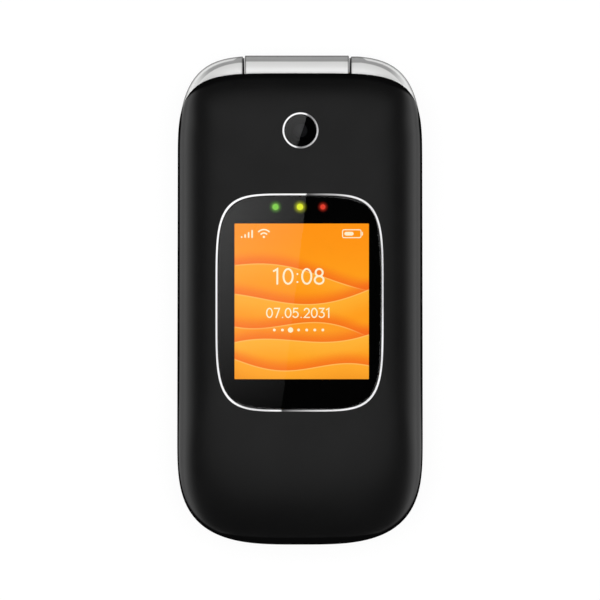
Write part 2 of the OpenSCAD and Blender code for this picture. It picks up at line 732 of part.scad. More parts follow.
module inner_window() color(tinted) difference() {
    slab(inner_window_ring(0), inner_window_z[0], inner_window_z[1]);
    slab(moved(round_rect(10, 1.4, 0.68), 0, earpiece_y), 0, far);
}

module inner_display() color("#20242c") {
    block(-20.8, 20.8, inner_screen_y - 30.7, inner_screen_y + 29.1, inner_cover_top_z + slit, 14);
    translate([0, inner_screen_y, 0])
        block(-inner_screen_w / 2, inner_screen_w / 2, -inner_screen_l / 2, inner_screen_l / 2, 11.5, 12);
}

module earpiece() color("#2c2c2e") {
    slab(moved(round_rect(15, 8, 2), 0, earpiece_y), 12, 14.15);
    slab(moved(round_rect(11, 2.4, 1.1), 0, earpiece_y), 11.45, 12.1);
}

module lid_screws() color(steel)
    for (p = lid_screw_at) screw(p[0], p[1], 11.6, 0.75, 15, 1.5, 0.6);

module bumpers() color("#2a2a2c")
    for (p = lid_screw_at) {
        disc(p[0], p[1], bumper_r, lid_floor_z - 0.15, 11.4);
        disc(p[0], p[1], bumper_r - 0.3, base_t + 0.08, lid_floor_z);
    }

module magnet() color(steel) block(6, 10, -44, -40.5, inner_cover_top_z + slit, 13.1);

rear_housing();
front_housing();
keypad_plate();
battery_cover();
battery();
battery_contacts();
main_board();
shield_cans();
dome_sheet();
loudspeaker();
microphone();
vibration_motor();
usb_port();
headset_jack();
sim_holder();
antenna();
side_switches();
volume_rocker();
housing_screws();
hinge_shaft();
pivot_bush();
board_flex();
for (k = side_keys) side_key(k);
nav_pad();
nav_ring();
ok_key();
for (k = number_keys) number_key(k);
lid_cover();
lid_inner_cover();
window_bezel();
outer_window();
outer_display();
status_leds();
camera_ring();
camera_window();
camera_module();
lid_board();
inner_window();
inner_display();
earpiece();
lid_screws();
bumpers();
magnet();
hinge_can();
hinge_spring();
lid_flex();
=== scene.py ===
"""Looks of a closed clamshell phone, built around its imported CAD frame.

Sizes are in millimetres in the frame's own axes: X across, +Y towards the hinge, +Z out of the closed lid.
"""
import json
from math import copysign, cos, dist, pi, radians, sin, sqrt

import bmesh
import bpy
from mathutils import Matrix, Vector


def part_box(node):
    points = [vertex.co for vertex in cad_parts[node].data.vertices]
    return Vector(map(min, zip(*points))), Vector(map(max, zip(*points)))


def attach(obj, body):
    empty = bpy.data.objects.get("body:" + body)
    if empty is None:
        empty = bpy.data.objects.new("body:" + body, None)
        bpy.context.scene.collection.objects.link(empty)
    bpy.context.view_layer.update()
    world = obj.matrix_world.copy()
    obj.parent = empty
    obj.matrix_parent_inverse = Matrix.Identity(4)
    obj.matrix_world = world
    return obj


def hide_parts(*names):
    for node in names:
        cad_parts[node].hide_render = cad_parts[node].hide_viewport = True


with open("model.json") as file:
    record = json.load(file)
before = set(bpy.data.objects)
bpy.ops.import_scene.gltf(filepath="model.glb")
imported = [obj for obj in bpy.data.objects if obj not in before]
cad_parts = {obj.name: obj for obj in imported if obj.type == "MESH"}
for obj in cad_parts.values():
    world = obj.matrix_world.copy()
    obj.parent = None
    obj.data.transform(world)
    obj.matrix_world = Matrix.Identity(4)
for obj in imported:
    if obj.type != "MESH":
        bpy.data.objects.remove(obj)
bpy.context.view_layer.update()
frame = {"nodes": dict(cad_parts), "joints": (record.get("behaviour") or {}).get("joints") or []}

MM = 0.001
RING = 240  # points round a plan outline
SIDES = 128  # points round the hinge's turned parts
FAR = 80


def box(node):
    """Lowest and highest corner of a CAD node."""
    lo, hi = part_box(node)
    return lo / MM, hi / MM


def centre(node):
    lo, hi = box(node)
    return (lo.x + hi.x) / 2, (lo.y + hi.y) / 2


# ---- Driving dimensions, read from the frame ----

HINGE = next(j for j in frame["joints"] if j["name"] == "lid_hinge")
HINGE_Y, HINGE_Z = (v / MM for v in HINGE["pos_m"][1:])
FOOT_END = box("lid_cover")[0].y
HALF_W = box("lid_cover")[1].x
FOOT_Y = FOOT_END + 23
TOP_Z = box("window_bezel")[1].z
CREST_Z = TOP_Z - 0.2
LID_SPLIT_Z = box("lid_cover")[0].z
LID_FLOOR_Z = box("inner_window")[0].z - 0.1
DECK_Z = 10.2
FRONT_SPLIT_Z = box("rear_housing")[1].z
COVER_SPLIT_Z = box("battery_cover")[1].z
COVER_END_Y = 23.5
KNUCKLE_R = 6.0
BARREL_R = KNUCKLE_R + 0.199
NOTCH_R = KNUCKLE_R + 0.3
BARREL_X = (-11.95, 10.6)
KNUCKLE_X = (BARREL_X[0] - 0.4, BARREL_X[1] + 0.4)
WALL = 1.6
LIP_Y = HINGE_Y - 2.4  # where the back stops under the knuckles

# An end is (half width, where the sides stop, its length, side exponent, end exponent)
BASE_TOP = (HALF_W - 0.1, 29.8, 23.2, 5.05, 2.76)
BASE_FOOT = (HALF_W - 0.2, FOOT_Y, 23.0, 3.26, 3.25)
LID_TOP = (HALF_W - 0.1, 28.3, 20.78, 4.92, 4.0)
LID_FOOT = (HALF_W, FOOT_Y, 23.0, 3.26, 3.25)

BEZEL_LO, BEZEL_HI = box("window_bezel")
WINDOW_X, WINDOW_Y = ((BEZEL_LO + BEZEL_HI) / 2).xy
WINDOW_HALF = ((BEZEL_HI - BEZEL_LO) / 2).xy
BEZEL_W = 0.5
WINDOW_EXPONENT = 4.9
CAM_LO, CAM_HI = box("camera_ring")
CAM_X, CAM_Y = centre("camera_ring")
CAM_R = (CAM_HI.x - CAM_LO.x) / 2
CAM_TRIM_W = 0.48
NAV_LO, NAV_HI = box("nav_ring")
NAV_Y = centre("nav_ring")[1]


# ---- Outlines ----

def quarter_turn(steps):
    """Angles from nothing to a right angle."""
    return [pi / 2 * i / steps for i in range(steps + 1)]


def full_turn(count):
    return [2 * pi * i / count for i in range(count)]


def power(value, exponent):
    """Cosine or sine of a circle, bent to that of a superellipse."""
    return copysign(abs(value) ** (2 / exponent), value)


def evenly(points, count):
    """The same closed outline with its points evenly spaced."""
    total = len(points)
    steps = [dist(points[i], points[(i + 1) % total]) for i in range(total)]
    length = sum(steps)
    found, i, done = [], 0, 0.0
    for k in range(count):
        want = length * k / count
        while i < total - 1 and done + steps[i] < want:
            done += steps[i]
            i += 1
        t = (want - done) / max(steps[i], 1e-9)
        a, b = points[i], points[(i + 1) % total]
        found.append((a[0] + (b[0] - a[0]) * t, a[1] + (b[1] - a[1]) * t))
    return found


def quarter(end, angles):
    for a in angles:
        c, s = cos(a), sin(a)
        yield end[0] * power(c, end[3]), end[2] * power(s, end[4])


def outline(top, foot, count=RING):
    """Closed outline that starts at the middle of the top end and turns anticlockwise."""
    turn = quarter_turn(220)
    right = [(x, top[1] + y) for x, y in quarter(top, turn)]
    left = [(-x, y) for x, y in reversed(right)]
    foot_right = [(x, foot[1] - y) for x, y in quarter(foot, turn)]
    foot_left = [(-x, y) for x, y in foot_right]
    path = left + foot_left + foot_right[::-1] + right[:-1]
    return evenly([p for i, p in enumerate(path) if dist(p, path[i - 1]) > 1e-6], count)


def drawn_in(end, d):
    return (end[0] - d, end[1], end[2] - d, end[3], end[4])


def base_ring(d=0.0, count=RING):
    return outline(drawn_in(BASE_TOP, d), drawn_in(BASE_FOOT, d), count)


def lid_ring(d=0.0):
    return outline(drawn_in(LID_TOP, d), drawn_in(LID_FOOT, d))


def window_ring(d=0.0):
    a, b = WINDOW_HALF.x + d, WINDOW_HALF.y + d
    return evenly([(WINDOW_X + a * power(cos(t), WINDOW_EXPONENT),
                    WINDOW_Y + b * power(sin(t), WINDOW_EXPONENT)) for t in full_turn(1600)], RING)


def circle(x, y, r, count):
    return [(x + r * cos(t), y + r * sin(t)) for t in full_turn(count)]


def round_rect(w, l, r, x=0.0, y=0.0, per_corner=8):
    corners = ((1, 1), (-1, 1), (-1, -1), (1, -1))
    return [(x + sx * (w / 2 - r) + r * cos(pi / 2 * (q + i / per_corner)),
             y + sy * (l / 2 - r) + r * sin(pi / 2 * (q + i / per_corner)))
            for q, (sx, sy) in enumerate(corners) for i in range(per_corner + 1)]


def footprint(node, r):
    """Rounded rectangle as large as a CAD node is in plan."""
    lo, hi = box(node)
    return round_rect(hi.x - lo.x, hi.y - lo.y, r, *centre(node))


def at_z(points, z):
    return [(x, y, z) for x, y in points]


def smooth(t):
    t = min(1.0, max(0.0, t))
    return t * t * (3 - 2 * t)


# ---- Mesh building ----

def new_object(name, data):
    obj = bpy.data.objects.new(name, data)
    bpy.context.scene.collection.objects.link(obj)
    return obj


def to_object(name, bm):
    bmesh.ops.recalc_face_normals(bm, faces=bm.faces)
    mesh = bpy.data.meshes.new(name)
    bm.to_mesh(mesh)
    bm.free()
    return new_object(name, mesh)


def add_faces(bm, rows, closed, spans):
    """Faces between neighbouring rows of corners, and from the last row to the first where it is closed."""
    for a, b in zip(rows, rows[1:] + rows[:1] if closed else rows[1:]):
        for i in range(spans):
            j = (i + 1) % len(a)
            bm.faces.new((a[i], a[j], b[j], b[i]))


def add_rings(bm, rings, closed=False):
    rows = [[bm.verts.new(Vector(p) * MM) for p in ring] for ring in rings]
    add_faces(bm, rows, closed, len(rings[0]))
    return rows


def add_loft(bm, rings, closed=False):
    rows = add_rings(bm, rings, closed)
    if not closed:
        bm.faces.new(rows[0][::-1])
        bm.faces.new(rows[-1])


def loft(name, rings, closed=False):
    """A skin through rings of equal length, its ends capped, or joined to each other where it is closed."""
    bm = bmesh.new()
    add_loft(bm, rings, closed)
    return to_object(name, bm)


def prism(points, z0, z1, name="tool"):
    return loft(name, [at_z(points, z0), at_z(points, z1)])


def block(x0, x1, y0, y1, z0, z1):
    return prism([(x1, y1), (x0, y1), (x0, y0), (x1, y0)], z0, z1)


def post(x, y, r, z0, z1, sides=96):
    return prism(circle(x, y, r, sides), z0, z1)


def ring_x(x, r, sides=SIDES, y=HINGE_Y, z=HINGE_Z):
    """Circle round an axis that runs across the phone, which is the hinge's unless told."""
    return [(x, y + r * cos(t), z + r * sin(t)) for t in full_turn(sides)]


def on_hinge(profile):
    """Turned solid on the hinge axis, from (x, radius) pairs."""
    return loft("tool", [ring_x(x, r) for x, r in profile])


def hinge_rod(x0, x1, r, sides=SIDES):
    return loft("tool", [ring_x(x, r, sides) for x in (x0, x1)])


def turned(name, x, y, profile, sides=96, closed=False):
    """Turned solid on a vertical axis, from (radius, z) pairs."""
    return loft(name, [at_z(circle(x, y, r, sides), z) for r, z in profile], closed)


def combine(obj, tools, operation="DIFFERENCE"):
    """Cuts the tools out of obj, or joins them to it, and removes them."""
    for tool in tools:
        modifier = obj.modifiers.new("combine", "BOOLEAN")
        modifier.operation = operation
        modifier.solver = "EXACT"
        modifier.object = tool
        depsgraph = bpy.context.evaluated_depsgraph_get()
        mesh = bpy.data.meshes.new_from_object(obj.evaluated_get(depsgraph))
        obj.modifiers.clear()
        obj.data = mesh
        bpy.data.objects.remove(tool)
    return obj


def rounded(radius, steps=4):
    """(inward, downward) offsets round a quarter fillet, from the wall up to the top."""
    return [(radius * (1 - cos(a)), radius * (1 - sin(a))) for a in quarter_turn(steps)]


FLAT_ANGLE = 6  # for the polished frames, whose flat tops have to mirror the sky evenly


def piece(obj, body, material, replaces=(), angle=32):
    """Finishes a piece: shading, material, the body it rides on and the CAD nodes that it stands for."""
    for polygon in obj.data.polygons:
        polygon.use_smooth = True
    obj.data.set_sharp_from_angle(angle=radians(angle))
    if not obj.data.materials:
        obj.data.materials.append(material)
    if angle > FLAT_ANGLE:
        weighted = obj.modifiers.new("normals", "WEIGHTED_NORMAL")
        weighted.keep_sharp = True
    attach(obj, body)
    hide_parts(*replaces)


# ---- Strokes for legends and the displays ----

def arc(x, y, rx, ry, start, end, steps=14):
    turn = [radians(start + (end - start) * i / steps) for i in range(steps + 1)]
    return [(x + rx * cos(a), y + ry * sin(a)) for a in turn]


def loop(x, y, rx, ry):
    return arc(x, y, rx, ry, 0, 360, 28)[:-1] + ["closed"]


def star_stroke(angle, x=0.31, y=0.5, r=0.38):
    dx, dy = r * cos(angle), r * sin(angle)
    return [(x + dx, y + dy), (x - dx, y - dy)]


# Each glyph is a list of strokes in a box one high and about GLYPH_W wide
GLYPH_W = 0.62
GLYPHS = {
    "0": [loop(0.31, 0.5, 0.31, 0.5)],
    "1": [[(0.1, 0.86), (0.34, 1.0), (0.34, 0.0)]],
    "2": [arc(0.3, 0.7, 0.28, 0.3, 160, -38) + [(0.03, 0.0), (0.6, 0.0)]],
    "3": [[(0.05, 1.0), (0.55, 1.0), (0.27, 0.6)] + arc(0.28, 0.3, 0.31, 0.3, 90, -145)],
    "4": [[(0.4, 1.0), (0.02, 0.27), (0.62, 0.27)], [(0.46, 0.55), (0.46, 0.0)]],
    "5": [[(0.54, 1.0), (0.13, 1.0), (0.08, 0.56)] + arc(0.28, 0.32, 0.31, 0.32, 110, -145)],
    "6": [loop(0.31, 0.31, 0.3, 0.31), arc(0.62, 0.33, 0.61, 0.67, 104, 180)],
    "7": [[(0.03, 1.0), (0.59, 1.0), (0.22, 0.0)]],
    "8": [loop(0.31, 0.76, 0.24, 0.24), loop(0.31, 0.26, 0.3, 0.26)],
    "9": [loop(0.31, 0.69, 0.3, 0.31), arc(0.0, 0.67, 0.61, 0.67, 0, -76)],
    "*": [star_stroke(a) for a in (pi / 2, pi / 6, -pi / 6)],
    "#": [[(0.2, 0.08), (0.26, 0.92)], [(0.42, 0.08), (0.48, 0.92)], [(0.04, 0.34), (0.62, 0.34)],
          [(0.06, 0.66), (0.64, 0.66)]],
    ".": [[(0.1, 0.0), (0.101, 0.0)]],
    ":": [[(0.1, 0.12), (0.101, 0.12)], [(0.1, 0.66), (0.101, 0.66)]],
}
NARROW = {".": 0.2, ":": 0.2, "1": 0.46}


def add_stroke(bm, points, width, z0, z1):
    """A flat line of that width with round ends, standing from z0 to z1."""
    closed = points[-1] == "closed"
    line = [Vector(p) for p in points if p != "closed"]
    n = len(line)
    half = [width / 2] * n
    if not closed:
        start, end = (line[0] - line[1]).normalized(), (line[-1] - line[-2]).normalized()
        turn = quarter_turn(5)[1:]
        tail = [line[0] + start * width / 2 * sin(a) for a in reversed(turn)]
        nose = [line[-1] + end * width / 2 * sin(a) for a in turn]
        taper = [max(0.02, cos(a)) * width / 2 for a in turn]
        line, half = tail + line + nose, taper[::-1] + half + taper
        n = len(line)
    left, right = [], []
    for i, p in enumerate(line):
        before = line[i - 1] if closed or i else line[0] * 2 - line[1]
        after = line[(i + 1) % n] if closed or i < n - 1 else line[-1] * 2 - line[-2]
        a, b = (p - before).normalized(), (after - p).normalized()
        along = (a + b).normalized()
        side = Vector((-along.y, along.x)) * half[i] / max(0.5, along.dot(b))
        left.append(p + side)
        right.append(p - side)
    rows = [[bm.verts.new((q.x * MM, q.y * MM, z * MM)) for q in edge]
            for edge, z in ((left, z1), (right, z1), (right, z0), (left, z0))]
    add_faces(bm, rows, True, n if closed else n - 1)
    if not closed:
        bm.faces.new([row[0] for row in rows])
        bm.faces.new([row[-1] for row in rows][::-1])


def add_dot(bm, x, y, width, z0, z1):
    add_stroke(bm, [(x, y), (x + 0.001, y)], width, z0, z1)


LAYER = 0.006  # strokes that cross lie this much under one another


def add_text(bm, text, x, y, height, width, z0, z1, space=0.22):
    """Digits centred on x, y."""
    long = sum(NARROW.get(c, GLYPH_W) + space for c in text) * height - space * height
    pen = -long / 2
    for c in text:
        shift = (GLYPH_W - NARROW.get(c, GLYPH_W)) / 2 if c == "1" else 0
        for layer, stroke in enumerate(GLYPHS[c]):
            moved = [p if p == "closed" else (x + (pen + (p[0] - shift) * height), y + (p[1] - 0.5) * height)
                     for p in stroke]
            add_stroke(bm, moved, width, z0, z1 - LAYER * layer)
        pen += (NARROW.get(c, GLYPH_W) + space) * height


# ---- Materials ----

def linear(colour):
    """Linear colour from one written as #rrggbb."""
    parts = [int(colour[i:i + 2], 16) / 255 for i in (1, 3, 5)]
    return tuple(c / 12.92 if c <= 0.04045 else ((c + 0.055) / 1.055) ** 2.4 for c in parts) + (1.0,)


def add(tree, kind, inputs=(), **settings):
    node = tree.nodes.new("ShaderNode" + kind)
    for key, value in settings.items():
        setattr(node, key, value)
    for key, value in (inputs.items() if isinstance(inputs, dict) else enumerate(inputs)):
        if isinstance(value, bpy.types.NodeSocket):
            tree.links.new(value, node.inputs[key])
        elif value is not None:
            node.inputs[key].default_value = value
    return node


def join(kind, inputs, **settings):
    """A node in the tree of the sockets that feed it."""
    values = inputs.values() if isinstance(inputs, dict) else inputs
    tree = next(v.id_data for v in values if isinstance(v, bpy.types.NodeSocket))
    return add(tree, kind, inputs, **settings)


def calc(operation, *values):
    return join("Math", values, operation=operation).outputs[0]


def times(a, b):
    return calc("MULTIPLY", a, b)


def minus(a, b):
    return calc("SUBTRACT", a, b)


def step(value, lo, hi, start=0.0, end=1.0, kind="SMOOTHSTEP"):
    """From start to end while the value goes from lo to hi."""
    inputs = {"Value": value, "From Min": lo, "From Max": hi, "To Min": start, "To Max": end}
    return join("MapRange", inputs, interpolation_type=kind).outputs[0]


def ramp(value, lo, hi, start=0.0, end=1.0):
    return step(value, lo, hi, start, end, "LINEAR")


def step_mm(value, lo, hi, start=0.0, end=1.0):
    return step(value, lo * MM, hi * MM, start, end)


def blend(share, a, b):
    return join("Mix", {0: share, 6: a, 7: b}, data_type="RGBA").outputs[2]


def choose(share, a, b):
    """The number a, or b where share is 1."""
    return join("Mix", {0: share, 2: a, 3: b}, data_type="FLOAT").outputs[0]


def makes_material(shader):
    """Turns a function that builds a shader in a tree into one that makes a material with a name."""
    def made(name, *values, **settings):
        new = bpy.data.materials.new(name)
        new.use_nodes = True
        new.node_tree.nodes.clear()
        built = shader(new.node_tree, *values, **settings)
        add(new.node_tree, "OutputMaterial", [built.outputs[0]])
        return new
    return made


def noise(tree, scale, detail=2.0, stretch=(1, 1, 1)):
    """Noise over the object's own coordinates, its scale in features a millimetre."""
    place = add(tree, "TexCoord").outputs["Object"]
    if stretch != (1, 1, 1):
        place = add(tree, "Mapping", {"Vector": place, "Scale": stretch}).outputs[0]
    return add(tree, "TexNoise", {"Vector": place, "Scale": scale / MM, "Detail": detail}).outputs[0]


def shaded(colour, amount):
    return tuple(min(1.0, c * amount) for c in colour[:3]) + (1.0,)


def object_xyz(tree):
    return add(tree, "SeparateXYZ", [add(tree, "TexCoord").outputs["Object"]]).outputs


def hinge_band(tree):
    """Painted dark reflection: a band on the far upper side of the hinge where the silver is painted grey,
    narrow at its rounded corners.
    """
    x, y, z = object_xyz(tree)
    out = calc("ABSOLUTE", x)
    floor_z = step_mm(out, 12.4, 14.6, 10.4 * MM, 13.1 * MM)
    above = step_mm(minus(z, floor_z), -0.3, 0.4)
    below = times(step_mm(z, 14.1, 14.4, 1.0, 0.26), step_mm(z, 14.4, 16.0, 1.0, 0.0))
    behind = step_mm(y, HINGE_Y - 1.5, HINGE_Y + 0.5)
    near = step_mm(out, 19.0, 24.0, 1.0, 0.0)
    band = times(times(above, below), times(behind, near))
    return times(band, 0.66)


def hinge_crest(tree):
    """Painted highlight: where the silver is painted lighter, along the top of the hinge."""
    return step_mm(object_xyz(tree)[2], HINGE_Z + 4.8, HINGE_Z + 5.7, 0.0, 0.4)


def hinge_edges(tree):
    """Painted shade: where the silver is painted darkest and its gloss is taken away, where it turns straight
    down at the hinge end, and beside the gaps.
    """
    x, y, z = object_xyz(tree)
    slope = add(tree, "SeparateXYZ", [add(tree, "NewGeometry").outputs["Normal"]]).outputs[2]
    upright = step(slope, 0.16, 0.42, 1.0, 0.0)
    high = step_mm(z, HINGE_Z - 1.6, HINGE_Z - 0.2)
    at_end = times(times(upright, high), step_mm(y, HINGE_Y - 9, HINGE_Y - 3))
    beside = 0.0
    for gap in ((BARREL_X[0] + KNUCKLE_X[0]) / 2, (BARREL_X[1] + KNUCKLE_X[1]) / 2):
        away = calc("ABSOLUTE", minus(x, gap * MM))
        beside = calc("MAXIMUM", beside, step_mm(away, 0.22, 0.6, 1.0, 0.0))
    beside = times(beside, step_mm(y, HINGE_Y - 3, HINGE_Y - 2))
    return times(calc("MAXIMUM", at_end, beside), 0.92)


def lid_lower_edge(tree):
    """Where the lid is matt: along its lowest edge, which shows as a dark line round it from above."""
    _, y, z = object_xyz(tree)
    along = step_mm(y, -45, -10, (LID_SPLIT_Z + 2.2) * MM, (LID_SPLIT_Z + 2.8) * MM)
    at_hinge = step_mm(y, HINGE_Y - 9, HINGE_Y, LID_SPLIT_Z * MM, (CREST_Z - 1.0) * MM)
    at_foot = step_mm(y, FOOT_END, FOOT_END + 7, (LID_SPLIT_Z + 3.2) * MM, LID_SPLIT_Z * MM)
    edge_z = calc("MAXIMUM", calc("MAXIMUM", along, at_hinge), at_foot)
    return step_mm(minus(z, edge_z), -0.25, 0.25, 1.0, 0.0)


@makes_material
def surface(tree, colour, rough, grain, bump=0.1, mottle=0.06, spread=0.04, metallic=0.0, depth=0.01,
            specular=0.5, coat=0.0, stretch=(1, 1, 1), painted_light_marks=(), matt=None):
    """Moulded, painted or metal surface: fine grain in its bump, slow change in its colour and roughness."""
    colour = linear(colour) if isinstance(colour, str) else tuple(colour) + (1.0,)
    slow = noise(tree, 0.12)
    fine = noise(tree, grain, 3.0, stretch)
    tint = blend(slow, shaded(colour, 1 - mottle), shaded(colour, 1 + mottle))
    # Each mark blends the colour towards a tone: painted highlight, painted reflection or painted shade.
    for mark, tone in painted_light_marks:
        tint = blend(mark(tree), tint, linear(tone))
    if matt:
        specular = times(specular, minus(1.0, matt(tree)))
    roughness = ramp(slow, 0.3, 0.7, max(0.0, rough - spread), rough + spread)
    relief = add(tree, "Bump", {"Strength": bump, "Distance": depth * MM, "Height": fine}).outputs[0]
    return add(tree, "BsdfPrincipled", {
        "Base Color": tint, "Roughness": roughness, "Metallic": metallic, "Normal": relief,
        "Specular IOR Level": specular, "Coat Weight": coat, "Coat Roughness": 0.03})


def lit(tree, base, rough, specular, glow, strength):
    """Surface that gives off light of its own."""
    return add(tree, "BsdfPrincipled", {
        "Base Color": base, "Roughness": rough, "Specular IOR Level": specular,
        "Emission Color": glow, "Emission Strength": strength})


@makes_material
def clear_window(tree, tint):
    """Thin clear sheet: its outer face reflects, and the rest lets light through."""
    haze = noise(tree, 0.3)
    through = add(tree, "BsdfTransparent", [blend(haze, shaded(tint, 0.98), tint)])
    gloss = add(tree, "BsdfGlossy", {"Color": (1, 1, 1, 1), "Roughness": 0.0})
    outside = minus(1.0, add(tree, "NewGeometry").outputs["Backfacing"])
    coated = calc("MINIMUM", add(tree, "Fresnel", {"IOR": 1.5}).outputs[0], 0.3)
    share = times(coated, outside)
    return add(tree, "MixShader", [share, through.outputs[0], gloss.outputs[0]])


@makes_material
def glowing(tree, colour, strength, change):
    """Light pipe or lit figures, a little dimmer in places."""
    shade = blend(noise(tree, 1.5), shaded(colour, 1 - change), colour)
    return lit(tree, shaded(colour, 0.03), 0.25, 0.1, shade, strength)


# Each wave: where it starts, its slope, how high, how often, its phase, its colours at the edge and below
WAVES = (
    (0.72, -0.10, 0.050, 4.1, 0.3, "#ffa426", "#ff9a18"),
    (0.50, 0.10, 0.075, 3.6, 2.4, "#ffae30", "#ff9c1c"),
    (0.40, -0.14, 0.060, 4.6, 4.6, "#ff9c24", "#ffa828"),
    (0.18, 0.16, 0.060, 3.9, 1.4, "#ffb236", "#ffa01f"),
    (0.13, -0.08, 0.045, 5.2, 3.1, "#ffa82c", "#f39320"))
SHADOW, HIGHLIGHT = "#f4671c", "#ffc66a"


@makes_material
def wallpaper(tree, x, y, w, l, strength, up=1):
    """Lit screen: a warm ground crossed by layered waves, each with a light edge and a shadow above it."""
    place = object_xyz(tree)
    u = ramp(place[0], (x - w / 2) * MM, (x + w / 2) * MM)
    v = ramp(place[1], (y - up * l / 2) * MM, (y + up * l / 2) * MM)
    colour = blend(step(v, 0.3, 1.0), linear("#ffa51e"), linear("#ff9312"))
    for level, slope, height, often, phase, edge, deep in WAVES:
        swing = calc("SINE", calc("MULTIPLY_ADD", u, often, phase))
        crest = calc("MULTIPLY_ADD", swing, height, calc("MULTIPLY_ADD", u, slope, level))
        under = minus(crest, v)
        colour = blend(step(under, -0.09, 0.0, 0.0, 0.75), colour, linear(SHADOW))
        body = blend(step(under, 0.0, 0.16), linear(edge), linear(deep))
        body = blend(step(under, 0.004, 0.012, 0.7, 0.0), body, linear(HIGHLIGHT))
        colour = blend(step(under, 0.0, 0.004), colour, body)
    return lit(tree, (0.002, 0.002, 0.002, 1.0), 0.4, 0.0, colour, strength)


@makes_material
def printed_mask(tree, lights):
    """Black print under the window, with a painted glow round each light pipe, given off by the print itself.
    """
    place = add(tree, "TexCoord").outputs["Object"]
    glow = (0.0, 0.0, 0.0, 1.0)
    for at, r, colour in lights:
        at = tuple(c * MM for c in at)
        away = add(tree, "VectorMath", [place, at], operation="DISTANCE").outputs["Value"]
        near = step_mm(away, r * 0.4, r * 2.7, 1.0, 0.0)
        glow = blend(times(calc("POWER", near, 1.8), 0.7), glow, linear(colour))
    tint = blend(noise(tree, 2.0), linear("#020202"), linear("#040404"))
    return lit(tree, tint, 0.6, 0.0, glow, 0.8)


# After the name and colour: roughness, grain (features a mm), bump, mottle of colour, spread of roughness
SATIN = surface("satin_black_plastic", (0.0024, 0.0024, 0.0025), 0.33, 9, 0.06, 0.1, 0.02,
                matt=lid_lower_edge)
SATIN_BASE = surface("satin_black_base", (0.005, 0.005, 0.0052), 0.38, 7, 0.12, 0.1, 0.03, specular=0.4)
# The silver's marks are painted light: a painted highlight along the top of the hinge, a painted dark
# reflection in a band on its far side, and painted shade where it turns down and beside the gaps.
SILVER = surface("silver_paint", "#e0e0df", 0.36, 12, 0.012, 0.02, 0.03, metallic=0.1, matt=hinge_edges,
                 painted_light_marks=((hinge_crest, "#ffffff"), (hinge_band, "#000000"), (hinge_edges, "#000000")))
GLOSS = surface("gloss_black_plate", "#0b0b0c", 0.09, 3, 0.02, 0.15, 0.02)
KEY_BLACK = surface("gloss_keycap", "#17181a", 0.16, 4, 0.03, 0.12, 0.03)
KEY_SILVER = surface("silver_keycap", "#c4c6c9", 0.34, 20, 0.02, 0.02, 0.02, metallic=0.15)
KEY_GREEN = surface("green_keycap", "#1f8f3c", 0.2, 5, 0.03, 0.08, coat=0.5)
KEY_RED = surface("red_keycap", "#c0242b", 0.2, 5, 0.03, 0.08, coat=0.5)
PRINT = surface("white_print", "#eeeeea", 0.5, 12, 0.05, 0.03)
DARK_PRINT = surface("dark_print", "#26272a", 0.45, 12, 0.05, 0.05)
CHROME = surface("polished_trim", "#f8f8f9", 0.006, 5, 0.0, 0.01, 0.003, metallic=1)
STEEL = surface("bright_steel", "#b9bbbf", 0.24, 5, 0.15, 0.05, metallic=1, stretch=(1, 0.08, 1))
GOLD = surface("gold_plate", "#dcb257", 0.22, 8, 0.06, metallic=1)
BRASS = surface("turned_brass", "#d3ad62", 0.3, 6, 0.15, metallic=1, stretch=(4, 0.3, 0.3))
DARK_PLASTIC = surface("dark_plastic", "#242527", 0.5, 6, 0.2, 0.1)
RUBBER = surface("soft_rubber", "#1e1e1f", 0.75, 8, 0.35, 0.12, specular=0.3)
BATTERY_WRAP = surface("battery_wrap", "#3c4048", 0.4, 5, 0.08, 0.05, metallic=0.3)
BOARD = surface("solder_mask", "#1d5c3c", 0.35, 1.1, 0.3, 0.22, depth=0.05, coat=0.3)
FILM = surface("dome_film", "#d6d5cc", 0.45, 4, 0.08)
FLEX = surface("amber_film", "#b5682a", 0.35, 1.2, 0.2, 0.18, stretch=(6, 0.4, 1))
CAMERA_BLACK = surface("camera_black", (0.0005, 0.0005, 0.0005), 0.6, 8, specular=0.04)
LENS = surface("coated_lens", (0.006, 0.006, 0.0064), 0.2, 2, 0.0, 0.2, 0.02, specular=0.15)
WINDOW = clear_window("clear_window", (0.97, 0.975, 0.98, 1.0))


# ---- Base: rear housing and battery cover ----

BACK_IN, BACK_UP = 3.2, 5.0
RISE_Y0, RISE_H = HINGE_Y - 12.8, HINGE_Z - KNUCKLE_R


def rise(y):
    """How far the back has risen towards the knuckles."""
    t = min(1.0, max(0.0, (y - RISE_Y0) / (HINGE_Y - RISE_Y0)))
    return RISE_H * (1 - cos(pi * t)) / 2


def back_inset(up):
    """How far the rounded back edge draws in at that share of its height."""
    return BACK_IN * (1 - sqrt(1 - (1 - up) ** 2))


def back_profile(z_end, steps=14):
    """(inset, height) pairs up the rounded back edge to z_end, which is above the round."""
    pairs = [(BACK_IN * (1 - sin(a)), BACK_UP * (1 - cos(a))) for a in quarter_turn(steps)]
    return pairs + [(0.0, z_end)] if z_end > BACK_UP else pairs


def housing_skin(z_end):
    """The back of the phone as one solid, its underside rising to the knuckles."""
    def lifted(d, h):
        return [(x, y, rise(y) + h * (z_end - rise(y)) / z_end) for x, y in base_ring(d)]

    bm = bmesh.new()
    rows = add_rings(bm, [lifted(d, h) for d, h in back_profile(z_end)])
    for row in (rows[0], rows[-1]):
        for i in range(RING // 2):
            j = RING - i
            corners = [row[i], row[i + 1], row[j - 1], row[j % RING]]
            bm.faces.new([v for k, v in enumerate(corners) if v not in corners[:k]])
    return to_object("rear_housing_skin", bm)


def inside(d, z0, z1, y_end, y_start=-FAR):
    """Room inside the walls between y_start and y_end."""
    room = prism(base_ring(d, 120), z0, z1)
    ends = [block(-FAR, FAR, y_end, FAR, z0 - 1, z1 + 1)]
    if y_start > -FAR:
        ends.append(block(-FAR, FAR, -FAR, y_start, z0 - 1, z1 + 1))
    return combine(room, ends)


